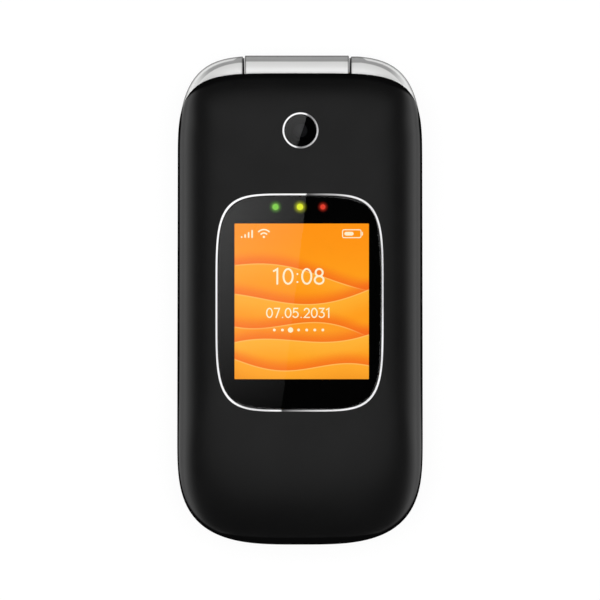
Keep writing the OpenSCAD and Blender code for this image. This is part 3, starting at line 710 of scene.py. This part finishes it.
def rear_housing():
    bay_end, room_end = 22.2, 38.3
    mid_lo, mid_hi = KNUCKLE_X
    jack_y, jack_z, jack_r = 31.5, 4.2, 2.4
    rocker_y, slot_x, slot_l = 8.0, 19.4, 9.4
    grille_y, pitch = 31, 2.1
    obj = housing_skin(FRONT_SPLIT_Z)
    tools = [
        hinge_rod(-FAR, FAR, KNUCKLE_R + 0.05),
        hinge_rod(mid_lo, mid_hi, BARREL_R + 0.3),
        block(-FAR, FAR, LIP_Y, FAR, -1, FRONT_SPLIT_Z + 1),
        block(-FAR, FAR, -FAR, COVER_END_Y, -1, 3.0),  # the battery cover's place
        inside(WALL, 2, 5, bay_end),  # battery bay
        inside(WALL, 5.5, FRONT_SPLIT_Z + 1, room_end),  # board
        inside(WALL + 0.03, 3.0, 5.55, room_end - 0.05, 24.8),  # between the bay and the hinge
        inside(2.6, 1.2, 3.05, 36.0, 25.0),  # loudspeaker
        prism(round_rect(9.1, 8.6, 0.8, 0, -49.1, 4), 3.4, 6.45),  # charging socket
        loft("tool", [ring_x(x, jack_r, 48, jack_y, jack_z) for x in (-FAR, -23)]),
        prism(round_rect(6.2, 16.4, 1, HALF_W - 0.6, rocker_y), 3.6, 6.4),
        block(22.6, 24.9, rocker_y - slot_l, rocker_y + slot_l, 3.5, 6.5)]
    tools += [block(x - 1.7, x + 1.7, 22.5, 25.5, 1.25, 2.35) for x in (-slot_x, slot_x)]
    tools += [post(x, y, 0.95, 4, FRONT_SPLIT_Z + 1, 32) for x, y in housing_screws_at()]
    tools += [post(i * pitch, grille_y + j * pitch, 0.55, -1, 3, 24)
              for i in range(-3, 4) for j in (-1, 0, 1)]
    obj.name = "rear_housing_shell"
    piece(combine(obj, tools), "base", SATIN_BASE, ["rear_housing"])


def housing_screws_at():
    lo, hi = box("housing_screws")
    return [(x, y) for x in (lo.x + 1.4, hi.x - 1.4) for y in (lo.y + 1.4, hi.y - 1.4)]


def battery_cover():
    top, dish_r, tongue_x, tongue_w = COVER_SPLIT_Z, 20, 19.4, 1.5
    edge_in = back_inset(top / BACK_UP)
    steps = [(d, z) for d, z in back_profile(0, 24) if z < top - 0.12]
    steps += [(edge_in + 0.03, top - 0.1), (edge_in + 0.14, top)]
    steps += [(edge_in + 1.5, top), (1.9, 1.8), (2.4, 1.1)]
    obj = loft("battery_cover_shell", [at_z(base_ring(d), z) for d, z in steps])
    curve = [radians(a) for a in (0, 2, 4, 6, 8, 10, 12, 14, 17)]
    dish = [(dish_r * sin(a) if a else 0.01, 0.6 - dish_r + dish_r * cos(a)) for a in curve]
    combine(obj, [block(-FAR, FAR, COVER_END_Y - 0.05, FAR, -1, 8), turned("tool", 0, 14, dish)])
    tongues = [block(x - tongue_w, x + tongue_w, COVER_END_Y - 3, COVER_END_Y + 1.6, 1.0, 2.2)
               for x in (-tongue_x, tongue_x)]
    combine(obj, tongues, "UNION")
    piece(obj, "battery_cover", SATIN_BASE, ["battery_cover"])


# ---- Base: front housing, keys ----

PLATE_TOP = (22.2, 26.0, HINGE_Y - 34.2, 5.0, 4.0)
PLATE_FOOT = (22.2, FOOT_Y, 18.2, 4.0, 4.0)
PLATE_Z0 = 9.3


def plate_ring(d):
    return outline(drawn_in(PLATE_TOP, d), drawn_in(PLATE_FOOT, d))


def front_housing():
    seat, roof, gap, ledge = PLATE_Z0 - 0.05, 8.6, -0.06, 0.9
    steps = [(base_ring, 0.12, FRONT_SPLIT_Z), (base_ring, 0.0, FRONT_SPLIT_Z + 0.12)]
    steps += [(base_ring, d, DECK_Z - drop) for d, drop in rounded(0.55, 5)]
    steps += [(plate_ring, d, DECK_Z - drop) for d, drop in ((-0.3, 0.0), (-0.12, 0.06), (gap, 0.2))]
    steps += [(plate_ring, gap, seat), (plate_ring, ledge, seat), (plate_ring, ledge, roof)]
    steps += [(base_ring, WALL, roof), (base_ring, WALL, FRONT_SPLIT_Z)]
    obj = loft("front_housing_shell", [at_z(ring(d), z) for ring, d, z in steps], closed=True)
    mid_lo, mid_hi = KNUCKLE_X
    combine(obj, [
        block(-FAR, FAR, HINGE_Y, FAR, 0, FAR),
        hinge_rod(mid_lo, mid_hi, BARREL_R + 0.3),
        block(mid_lo, mid_hi, HINGE_Y - 3.8, FAR, 0, FAR)])
    combine(obj, [knuckle(-1, mid_lo), knuckle(1, mid_hi)], "UNION")
    shaft_hole, bush_hole, flex_hole = (-20.1, -12.0, 2.4, 6), (10, 16.05, 2.62, 52), (16.0, 21, 3.2, 52)
    combine(obj, [hinge_rod(*hole) for hole in (shaft_hole, bush_hole, flex_hole)])
    piece(obj, "base", SILVER, ["front_housing"])


def knuckle_inset(h):
    """How far the outline draws in at height h over the hinge axis. Under it, it follows the rear housing."""
    if h >= 0:
        return 0.92 * (KNUCKLE_R - sqrt(max(0.0, KNUCKLE_R ** 2 - h * h)))
    return back_inset(min(1.0, (h + KNUCKLE_R) / (FRONT_SPLIT_Z - RISE_H) * FRONT_SPLIT_Z / BACK_UP))


def knuckle(side, x0):
    """One rounded corner of the housing: a turned end met by the plan outline."""
    fillet = [(x0 + side * drop, KNUCKLE_R - d) for d, drop in rounded(0.18, 3)][::-1]
    profile = [(x0, 0.5)] + fillet + [(side * FAR, KNUCKLE_R)]
    levels = [KNUCKLE_R * sin(pi * i / 48) for i in range(-24, 25)]
    body = loft("tool", [at_z(base_ring(knuckle_inset(h)), HINGE_Z + h) for h in levels])
    return combine(body, [on_hinge(profile)], "INTERSECT")


def hinge_washers():
    """Painted shade: thin dark rings that fill the gaps between the knuckles and the barrel, so that the gaps
    show dark.
    """
    r, bore, soft = KNUCKLE_R - 0.3, 3.6, 0.06
    for name, x0, x1 in (("hinge_gap_shade_left", KNUCKLE_X[0] - 0.02, KNUCKLE_X[0] + 0.3),
                         ("hinge_gap_shade_right", KNUCKLE_X[1] - 0.3, KNUCKLE_X[1] + 0.02)):
        profile = [(x0, bore), (x0, r - soft), (x0 + soft, r), (x1 - soft, r), (x1, r - soft), (x1, bore)]
        ring = loft(name, [ring_x(x, radius) for x, radius in profile], closed=True)
        piece(ring, "base", SATIN_BASE)


KEY_FLANGE = 0.35
LEGENDS = {f"key_{i}": str(i) for i in range(1, 10)} | {"key_star": "*", "key_0": "0", "key_hash": "#"}


def cap_rings(x, y, w, l, r, flange, z0, top):
    """Rings up a soft-edged cap with a flange under it."""
    def ring(d):
        return round_rect(w + 2 * d, l + 2 * d, r + d, x, y)
    rings = [at_z(ring(flange), z0), at_z(ring(flange), z0 + 0.8), at_z(ring(0), z0 + 0.82)]
    rings += [at_z(ring(-d * 1.6), top - drop * 0.8) for d, drop in rounded(0.45, 5)]
    return rings + [at_z(ring(-1.6), top)]


def handset_legend(turn):
    """Handset symbol, its hollow side turned from straight down by that angle."""
    c, s = cos(radians(turn)), sin(radians(turn))

    def draw(bm, x, y, z0, z1):
        strokes = [(arc(0, -1.2, 2.2, 2.2, 38, 142, 10), 0.75)]
        strokes += [([(side * 1.75, 0.1), (side * 1.95, -0.5)], 1.15) for side in (-1, 1)]
        for layer, (line, width) in enumerate(strokes):
            turned_line = [(x + a * c - b * s, y + a * s + b * c) for a, b in line]
            add_stroke(bm, turned_line, width, z0, z1 - LAYER * layer)
    return draw


def printed_piece(bm, plain, node, material, ink):
    """Finishes a piece whose faces from the number plain on are its print."""
    bm.faces.ensure_lookup_table()
    for face in bm.faces[plain:]:
        face.material_index = 1
    obj = to_object(node + "_cap", bm)
    obj.data.materials.append(material)
    obj.data.materials.append(ink)
    piece(obj, node, material, [node])


def keycap(node, material, legend, ink=PRINT):
    """A key with its legend printed on top."""
    lo, hi = box(node)
    x, y = centre(node)
    w, l, top = hi.x - lo.x - 2 * KEY_FLANGE, hi.y - lo.y - 2 * KEY_FLANGE, hi.z
    bm = bmesh.new()
    add_loft(bm, [at_z(circle(x, y, 1.2, 24), z) for z in (lo.z, lo.z + 0.5)])
    add_loft(bm, cap_rings(x, y, w, l, 2.8, KEY_FLANGE, lo.z + 0.45, top - 0.02))
    plain = len(bm.faces)
    legend(bm, x, y, top - 0.06, top)
    printed_piece(bm, plain, node, material, ink)


def number_legend(symbol):
    def draw(bm, x, y, z0, z1):
        add_text(bm, symbol, x, y, 4.6, 0.62, z0, z1)
    return draw


def dash_legend(bm, x, y, z0, z1):
    add_stroke(bm, [(x - 1.3, y), (x + 1.3, y)], 0.6, z0, z1)


def keys():
    for node, symbol in LEGENDS.items():
        keycap(node, KEY_BLACK, number_legend(symbol))
    for node in ("soft_key_left", "soft_key_right"):
        keycap(node, KEY_SILVER, dash_legend, DARK_PRINT)
    keycap("call_key", KEY_GREEN, handset_legend(135))
    keycap("end_key", KEY_RED, handset_legend(0))


def nav_ring():
    r, hole, top = (NAV_HI.x - NAV_LO.x) / 2 - 0.4, 4.3, NAV_HI.z
    z0 = NAV_LO.z
    rings = [(hole, z0), (r + 0.4, z0), (r + 0.4, z0 + 0.38), (r, z0 + 0.42)]
    rings += [(r - d, top - drop) for d, drop in rounded(0.5, 5)]
    rings += [((r + hole) / 2, top - 0.1), (hole + 0.5, top - 0.04), (hole + 0.2, top - 0.08),
              (hole, top - 0.3)]
    bm = bmesh.new()
    add_loft(bm, [at_z(circle(0, NAV_Y, radius, 96), z) for radius, z in rings], closed=True)
    plain = len(bm.faces)
    for a in full_turn(4):
        out, side = Vector((cos(a), sin(a))), Vector((-sin(a), cos(a)))
        tip = Vector((0, NAV_Y)) + out * (r - 1.7)
        chevron = [tuple(tip - out * 0.9 + side * 1.1), tuple(tip), tuple(tip - out * 0.9 - side * 1.1)]
        add_stroke(bm, chevron, 0.45, top - 0.2, top - 0.02)
    printed_piece(bm, plain, "nav_ring", KEY_SILVER, DARK_PRINT)


def ok_key():
    lo, hi = box("ok_key")
    r = (hi.x - lo.x) / 2
    rings = [(1.2, lo.z), (1.2, lo.z + 0.35), (r, lo.z + 0.35)]
    rings += [(r - d, hi.z - drop) for d, drop in rounded(0.45, 5)]
    rings += [(r * 0.5, hi.z - 0.05), (0.3, hi.z - 0.09)]
    piece(turned("ok_key_cap", 0, NAV_Y, rings), "ok_key", KEY_BLACK, ["ok_key"])


def volume_rocker():
    lo, hi = box("volume_rocker")
    y, z = (lo.y + hi.y) / 2, (lo.z + hi.z) / 2
    half_l, half_t, x1, flange = 8.0, (hi.z - lo.z) / 2, hi.x, (23.5, 24.4)

    def ring(x, half_y, half_z, r):
        return [(x, y + b, z + a) for a, b in round_rect(2 * half_z, 2 * half_y, r)]
    rings = [ring(flange[0], half_l + 1, half_t, 0.3), ring(flange[1], half_l + 1, half_t, 0.3),
             ring(flange[1], half_l, half_t, 1.1)]
    rings += [ring(x1 - drop, half_l - d, half_t - d, 1.1 - d) for d, drop in rounded(0.7, 5)]
    piece(loft("volume_rocker_bar", rings), "volume_rocker", SILVER, ["volume_rocker"])


# ---- Lid ----

FOCUS_Y = 25.0
SIDE_DROP, END_DROP = 5.6, 2.3
LID_CAVITY = outline((HALF_W - WALL, 22.0, 18.2, 5.0, 6.0), drawn_in(LID_FOOT, WALL))


def lid_drop(y):
    """How far the lid's top falls towards the rim: less at the hinge end than at the sides."""
    return SIDE_DROP + (END_DROP - SIDE_DROP) * smooth((y - HINGE_Y + 9) / 9)


def cavity_drop(y):
    return lid_drop(y + 8.75) - 1.35


def scaled(points, s, z, drop=lambda y: 0.0):
    """The outline drawn towards a point near the hinge, its z falling towards the rim as a dome's does."""
    fall = 1 - sqrt(max(0.0, 1 - s ** 8))
    return [(x * s, FOCUS_Y + (y - FOCUS_Y) * s, z - fall * drop(y)) for x, y in points]


def lid_cover():
    ring, soft = lid_ring(), 0.16
    levels = [sin(pi / 2 * i / 26) ** 0.25 for i in range(26, 0, -1)]
    roof = CREST_Z - 1.8
    rings = [scaled(LID_CAVITY, s, roof, cavity_drop) for s in (0.5, 0.77, 0.88, 0.95, 1.0)]
    rings += [at_z(LID_CAVITY, LID_SPLIT_Z), at_z(lid_ring(soft), LID_SPLIT_Z)]
    rings += [at_z(ring, LID_SPLIT_Z + soft)]
    rings += [scaled(ring, s, CREST_Z, lid_drop) for s in levels] + [scaled(ring, 0.38, CREST_Z)]
    obj = loft("lid_cover_shell", rings)
    seat = BEZEL_LO.z - 0.05
    combine(obj, [
        prism(window_ring(0.04), seat, FAR), prism(window_ring(-1.6), 17, seat + 0.1),
        post(CAM_X, CAM_Y, CAM_R + 0.04, 18, FAR), post(CAM_X, CAM_Y, CAM_R - 0.9, 17, 18.2),
        hinge_rod(-FAR, FAR, NOTCH_R)])
    piece(obj, "lid", SATIN, ["lid_cover"], angle=38)


INNER_SCREEN = (36.7, 48.9, 3.9)  # width, length, middle
EARPIECE_Y = -31.9
LID_SCREWS = ((-23, 34), (23, 34), (-20.5, -44), (20.5, -44))


def inner_window_ring(d):
    top = (20.6, 28.0, HINGE_Y - 38.8, 5.0, 5.0)
    foot = (20.6, -32.0, 6.6, 4.0, 4.0)
    return outline(drawn_in(top, d), drawn_in(foot, d))


def lid_inner_cover():
    floor, split = LID_FLOOR_Z, LID_SPLIT_Z
    rings = [at_z(lid_ring(0.27), split), at_z(lid_ring(0.15), split - 0.12)]
    rings += [at_z(lid_ring(0.15 + d), floor + drop) for d, drop in rounded(0.55, 5)]
    obj = loft("lid_inner_shell", rings)
    cavity = [(x * 0.995, y - (0.6 if y > 0 else 0)) for x, y in LID_CAVITY]
    w, l, screen_y = INNER_SCREEN
    combine(obj, [
        prism(cavity, 11.9, split + 1), prism(inner_window_ring(-0.06), 0, 11.45),
        prism(round_rect(w + 2, l + 2, 1, 0, screen_y), 11, 12.1),
        prism(round_rect(12, 3, 1.4, 0, EARPIECE_Y), 11, 12.1),
        hinge_rod(-FAR, BARREL_X[0], NOTCH_R), hinge_rod(BARREL_X[1], FAR, NOTCH_R),
        block(-FAR, BARREL_X[0], HINGE_Y, FAR, 0, FAR), block(BARREL_X[1], FAR, HINGE_Y, FAR, 0, FAR)])
    soft = rounded(0.18, 3)
    left = [(BARREL_X[0] + drop, BARREL_R - d) for d, drop in soft][::-1]
    right = [(BARREL_X[1] - drop, BARREL_R - d) for d, drop in soft]
    combine(obj, [on_hinge(left + right)], "UNION")
    can_bore, flex_bore, bush_bore = (-20, 1, 3.45, 64), (1.6, 9.4, 4.6, 64), (9, 12, 2.65, 64)
    bores = [hinge_rod(*bore) for bore in (can_bore, flex_bore, bush_bore)]
    combine(obj, bores + [post(x, y, 1.85, 0, 12.4, 48) for x, y in LID_SCREWS])
    piece(obj, "lid", SILVER, ["lid_inner_cover"])


def trim_profile(width):
    """(inward, downward) over the section of a polished frame: a flat top between two gently sloped edges."""
    outer, inner = [(0.0, 0.06), (0.01, 0.016), (0.07, 0.0)], [(0.06, 0.0), (0.01, 0.013), (0.0, 0.06)]
    return outer + [(width - d, drop) for d, drop in inner]


def window_bezel():
    z0, z1 = BEZEL_LO.z, BEZEL_HI.z
    rings = [at_z(window_ring(-d), z1 - drop) for d, drop in trim_profile(BEZEL_W)]
    rings = [at_z(window_ring(0), z0)] + rings + [at_z(window_ring(-BEZEL_W), z0)]
    obj = loft("window_trim", rings, closed=True)
    piece(obj, "lid", CHROME, ["window_bezel"], FLAT_ANGLE)


# Each status light is (x, name, colour, radius where it shows)
LED_LO, LED_HI = box("status_leds")
LED_Y = centre("status_leds")[1]
LEDS = ((LED_LO.x + 1, "status_green", "#80cf44", 0.66), (0.0, "status_yellow", "#e6f01a", 0.7),
        (LED_HI.x - 1, "status_red", "#e9402e", 0.54))
SCREEN = (0.37, -0.29, 29.08, 33.68)  # middle, width, length


def outer_window():
    """The clear sheet, with its black print just under it."""
    lo, hi = box("outer_window")
    d = -BEZEL_W - 0.04
    print_z = lo.z + 0.06
    rings = [at_z(window_ring(d), print_z + 0.02)]
    rings += [at_z(window_ring(d - a), hi.z - drop) for a, drop in rounded(0.08, 3)]
    piece(loft("window_sheet", rings), "lid", WINDOW, ["outer_window"])
    x, y, w, l = SCREEN
    mask = prism(window_ring(d), lo.z, print_z, "window_print")
    combine(mask, [prism(round_rect(w, l, 0.15, x, y), 0, FAR)]
            + [post(at, LED_Y, r, 0, FAR, 40) for at, _, _, r in LEDS])
    lights = [((at, LED_Y, print_z), r, colour) for at, _, colour, r in LEDS]
    piece(mask, "lid", printed_mask("window_mask", lights))


def status_leds():
    foot, top = LED_LO.z, LED_HI.z
    for x, name, colour, r in LEDS:
        dome = [(0.75, foot), (0.75, top - 0.12), (r, top - 0.04), (0.3, top), (0.05, top)]
        owner = ["status_leds"] if name == "status_green" else []
        light = glowing(name, linear(colour), strength=1.05, change=0.1)
        piece(turned(name, x, LED_Y, dome, 32), "lid", light, owner)


def signal_icons(bm, x0, x1, y, z0, z1):
    """Bars, a radio fan and a battery along the top of a screen."""
    for i in range(4):
        add_stroke(bm, [(x0 + i * 0.75, y - 0.75), (x0 + i * 0.75, y - 0.7 + 0.45 * i)], 0.34, z0, z1)
    fan = (x0 + 4.8, y - 0.7)
    add_dot(bm, *fan, 0.5, z0, z1)
    for r in (0.85, 1.6):
        add_stroke(bm, arc(*fan, r, r, 135, 45, 10), 0.3, z0, z1)
    case = round_rect(4.0, 1.7, 0.35, x1 - 2.0, y, 4)
    add_stroke(bm, case + ["closed"], 0.2, z0, z1)
    add_stroke(bm, [(x1 + 0.28, y - 0.28), (x1 + 0.28, y + 0.28)], 0.24, z0, z1)
    add_stroke(bm, [(x1 - 3.2, y), (x1 - 2.0, y)], 0.8, z0, z1)


def display_layers(node, r, module, lit, screen, waves):
    """A dark module with corners of radius r, and its lit screen. Each layer lies between two heights."""
    piece(prism(footprint(node, r), *module, node + "_module"), "lid", DARK_PLASTIC, [node])
    piece(prism(lit, *screen, node + "_screen"), "lid", waves)


def outer_display():
    lo, hi = box("outer_display")
    x, y, w, l = SCREEN
    back, face = 17.1, hi.z - 0.03
    display_layers("outer_display", 0.5, (lo.z, back), round_rect(w + 0.1, l, 0.1, x, y), (back, face),
                   wallpaper("screen_waves", x, y, w, l, strength=1.13))
    bm = bmesh.new()
    z0, z1 = face - 0.01, hi.z
    signal_icons(bm, x - w / 2 + 1.55, x + w / 2 - 1.7, y + l / 2 - 2.2, z0, z1)
    middle = -0.3
    add_text(bm, "10:08", middle, y + 5.4, 3.2, 0.4, z0, z1)
    add_text(bm, "07.05.2031", middle, y - 2.5, 1.95, 0.27, z0, z1, space=0.21)
    for i in range(7):
        add_dot(bm, middle + (i - 3) * 1.75, y - 6.2, 1.15 if i == 2 else 0.6, z0, z1)
    piece(to_object("outer_display_figures", bm), "lid",
          glowing("screen_figures", linear("#fff1cc"), strength=1.08, change=0.02))


def camera():
    def part(name, profile, closed=False):
        return turned(name, CAM_X, CAM_Y, profile, closed=closed)

    z0, z1 = CAM_LO.z, CAM_HI.z
    inner = CAM_R - CAM_TRIM_W
    trim = [(CAM_R, z0)] + [(CAM_R - d, z1 - drop) for d, drop in trim_profile(CAM_TRIM_W)] + [(inner, z0)]
    piece(part("camera_trim", trim, True), "lid", CHROME, ["camera_ring"], FLAT_ANGLE)
    lo, hi = box("camera_window")
    glass = [(inner - 0.04, z) for z in (lo.z + 0.06, hi.z)]
    piece(part("camera_glass", glass), "lid", WINDOW, ["camera_window"])
    print_ring = [(3.4, z0), (3.4, z0 + 0.05), (2.3, z0 + 0.05), (2.3, z0)]
    piece(part("camera_print", print_ring, True), "lid", CAMERA_BLACK)
    barrel = [(2.6, 16.4), (2.6, 17.85), (2.2, 17.85), (2.15, 17.75), (1.95, 17.72), (1.9, 17.6),
              (1.62, 17.56), (1.58, 17.3), (1.58, 17.2)]
    body = prism(footprint("camera_module", 0.5), box("camera_module")[0].z, barrel[0][1] + 0.01)
    case = combine(part("camera_barrel", barrel), [body], "UNION")
    piece(case, "lid", CAMERA_BLACK, ["camera_module"])
    dome = [(1.56, 17.22), (1.5, 17.34), (1.2, 17.46), (0.8, 17.54), (0.4, 17.58), (0.05, 17.59)]
    piece(part("camera_lens", dome), "lid", LENS)


def inner_display():
    """Main screen, lit, and read from below."""
    lo, hi = box("inner_display")
    w, l, y = INNER_SCREEN
    back = 12.0
    display_layers("inner_display", 0.6, (back, hi.z), round_rect(w, l, 0.1, 0, y), (lo.z + 0.03, back),
                   wallpaper("inner_waves", 0, y, w, l, strength=0.9, up=-1))
    bm = bmesh.new()
    z0, z1 = lo.z, lo.z + 0.04
    signal_icons(bm, 2.5 - w / 2, w / 2 - 2.4, y + l / 2 - 3.0, z0, z1)
    add_text(bm, "10:08", 0, y + 9, 6.4, 0.6, z0, z1)
    add_text(bm, "07.05.2031", 0, y + 1.5, 2.7, 0.3, z0, z1)
    turn_round(bm, y)
    piece(to_object("inner_display_figures", bm), "lid",
          glowing("inner_figures", linear("#fffdf2"), strength=0.9, change=0.02))


def turn_round(bm, y):
    """Mirrors what is drawn end for end, so that it reads upright when the lid stands open."""
    for v in bm.verts:
        v.co.y = 2 * y * MM - v.co.y


def inner_window():
    """Clear sheet over the main screen, with a printed border and the earpiece slot."""
    lo, hi = box("inner_window")
    rings = [at_z(inner_window_ring(0), hi.z - 0.08)]
    rings += [at_z(inner_window_ring(a), lo.z + drop) for a, drop in rounded(0.12, 3)]
    w, l, screen_y = INNER_SCREEN
    slot = round_rect(10, 1.4, 0.68, 0, EARPIECE_Y)
    sheet = combine(loft("inner_window_sheet", rings), [prism(slot, 0, FAR)])
    piece(sheet, "lid", WINDOW, ["inner_window"])
    mask = prism(inner_window_ring(0), hi.z - 0.06, hi.z, "inner_window_print")
    combine(mask, [prism(round_rect(w - 0.1, l - 0.1, 0.3, 0, screen_y), 0, FAR), prism(slot, 0, FAR)])
    piece(mask, "lid", GLOSS)


# ---- CAD nodes that keep their shape ----

DRESSED = (
    (GLOSS, "keypad_plate"), (BATTERY_WRAP, "battery"), (GOLD, "battery_contacts antenna"),
    (BOARD, "main_board lid_board"), (FILM, "dome_sheet"), (FLEX, "board_flex lid_flex"),
    (BRASS, "pivot_bush"), (RUBBER, "bumpers"),
    (DARK_PLASTIC, "loudspeaker headset_jack side_switches nav_pad earpiece"),
    (STEEL, "shield_cans microphone vibration_motor usb_port sim_holder housing_screws hinge_shaft"
            " lid_screws magnet hinge_can hinge_spring"))


def dress():
    for material, nodes in DRESSED:
        for node in nodes.split():
            mesh = frame["nodes"][node].data
            mesh.materials.clear()
            mesh.materials.append(material)


# ---- Studio ----

CAMERA_AWAY = 4.0
FRAME_W = 0.12993  # metres across the picture at FOCUS_Z
FOCUS_Z = 0.016
FLOOR_HALF, FLOOR_Z = 6.0, -0.0001
FLOOR_WHITE = 0.92  # share of the floor that shows as plain white
LAMP_POWER = 37.0
TOP_LIGHT = 0.67
SIDE_LIGHT = 1.1
TRIM_LIGHT = 1.08
PANEL_EDGE = (radians(9), radians(14))  # angle from straight up where the top light fades
CARDS_Z = 0.999  # height on the unit sky from which the cards are seen
CARDS_MEET = 29.0  # mm up the lid, between the window and the camera
WINDOW_LINE = (0.1153, -1.29)  # slant and place of the light's edge over the window
LENS_LINE = (0.3135, 0.42)  # the same over the camera


def camera_above():
    """Straight down, the hinge end at the top."""
    data = bpy.data.cameras.new("camera")
    data.lens = data.sensor_width * CAMERA_AWAY / FRAME_W
    data.clip_start, data.clip_end = 0.05, 50
    obj = new_object("camera", data)
    obj.location = (0, 0, FOCUS_Z + CAMERA_AWAY)
    bpy.context.scene.camera = obj


@makes_material
def white_paper(tree):
    """Shows as plain white from above, with a faint shadow, and doesn't show from below."""
    path = add(tree, "LightPath").outputs
    seen = calc("MAXIMUM", path["Is Camera Ray"], path["Is Glossy Ray"])
    seen = calc("MAXIMUM", seen, path["Is Transmission Ray"])
    paper = add(tree, "BsdfDiffuse", {"Color": (0.93, 0.93, 0.93, 1.0)})
    white = add(tree, "Emission", {"Color": (1, 1, 1, 1), "Strength": 1.0})
    both = add(tree, "MixShader", [times(seen, FLOOR_WHITE), paper.outputs[0], white.outputs[0]])
    below = add(tree, "NewGeometry").outputs["Backfacing"]
    return add(tree, "MixShader", [below, both.outputs[0], add(tree, "BsdfTransparent").outputs[0]])


def floor():
    bm = bmesh.new()
    corners = ((-1, -1), (1, -1), (1, 1), (-1, 1))
    bm.faces.new([bm.verts.new((x * FLOOR_HALF, y * FLOOR_HALF, FLOOR_Z)) for x, y in corners])
    obj = to_object("floor", bm)
    obj.data.materials.append(white_paper("white_floor"))


def overhead_light(height=1.7, size=1.6):
    """Square lamp over the phone, not mirrored by it."""
    data = bpy.data.lights.new("overhead", "AREA")
    data.shape = "SQUARE"
    data.size = size
    data.energy = LAMP_POWER
    obj = new_object("overhead", data)
    obj.location = (0, 0, height)
    obj.visible_glossy = obj.visible_camera = False


def reflected_cards(x, y, z):
    """What the polished rings and the two windows mirror when looked at from straight above.

    The sky is measured in millimetres on the lid: a flat window at (u, v) mirrors the place (u, v).
    Each window mirrors a soft box on the left of a slanted line, and black on its right.
    """
    away = (FOCUS_Z + CAMERA_AWAY) / MM - box("outer_window")[1].z
    u = times(calc("DIVIDE", x, z), away)
    v = times(calc("DIVIDE", y, z), away)

    def card(inside, line, glass, dim, recovery):
        """Pane's brightness inside, ring's outside. Right of the line the ring is dim, then recovers."""
        left = calc("LESS_THAN", line, 0.0)
        ring = calc("MAXIMUM", left, ramp(line, 0.0, recovery, dim, 1.0))
        return choose(inside, times(ring, TRIM_LIGHT), times(glass, left))

    def term(value, middle, half):
        share = calc("DIVIDE", calc("ABSOLUTE", minus(value, middle)), half)
        return calc("POWER", share, WINDOW_EXPONENT)

    across = term(u, WINDOW_X, WINDOW_HALF.x - BEZEL_W)
    along = term(v, WINDOW_Y, WINDOW_HALF.y - BEZEL_W)
    inside = calc("LESS_THAN", calc("ADD", across, along), 1.0)
    line = minus(u, calc("MULTIPLY_ADD", v, *WINDOW_LINE))
    fade = ramp(u, -17.0, 4.0, 1.0, 0.3)
    glass = times(ramp(v, -24.0, 20.0, 0.12, 1.4), fade)
    window = card(inside, line, glass, dim=0.05, recovery=9.5)

    du, dv = minus(u, CAM_X), minus(v, CAM_Y)
    squares = calc("ADD", times(du, du), times(dv, dv))
    inside = calc("LESS_THAN", squares, (CAM_R - CAM_TRIM_W) ** 2)
    line = minus(du, calc("MULTIPLY_ADD", dv, *LENS_LINE))
    lens = card(inside, line, ramp(dv, -4.0, 4.0, 0.65, 1.2), dim=0.1, recovery=4.8)

    return choose(calc("GREATER_THAN", v, CARDS_MEET), window, lens)


def studio():
    """Soft overhead light for colour, and a sky of soft boxes for the reflections."""
    overhead_light()
    world = bpy.data.worlds.new("studio")
    bpy.context.scene.world = world
    world.use_nodes = True
    tree = world.node_tree
    tree.nodes.clear()
    x, y, z = add(tree, "SeparateXYZ", [add(tree, "TexCoord").outputs["Generated"]]).outputs
    panel = step(calc("ARCCOSINE", z), *PANEL_EDGE, 1.0, 0.0)
    low = step(z, 0.1, 0.45, SIDE_LIGHT * 1.7, SIDE_LIGHT)
    sides = times(step(calc("ABSOLUTE", x), 0.55, 0.92), low)
    light = calc("ADD", calc("MULTIPLY_ADD", panel, TOP_LIGHT, 0.04), sides)
    near_top = calc("GREATER_THAN", z, CARDS_Z)
    sky = choose(near_top, light, reflected_cards(x, y, z))
    soft, plain = [add(tree, "Background", {"Color": (1, 1, 1, 1), "Strength": strength}).outputs[0]
                   for strength in (sky, 1.0)]
    seen = add(tree, "LightPath").outputs["Is Camera Ray"]
    add(tree, "OutputWorld", [add(tree, "MixShader", [seen, soft, plain]).outputs[0]])


rear_housing()
battery_cover()
front_housing()
hinge_washers()
keys()
nav_ring()
ok_key()
volume_rocker()
lid_cover()
lid_inner_cover()
window_bezel()
outer_window()
status_leds()
outer_display()
camera()
inner_window()
inner_display()
dress()
camera_above()
floor()
studio()
bpy.context.scene.view_settings.view_transform = "Standard"
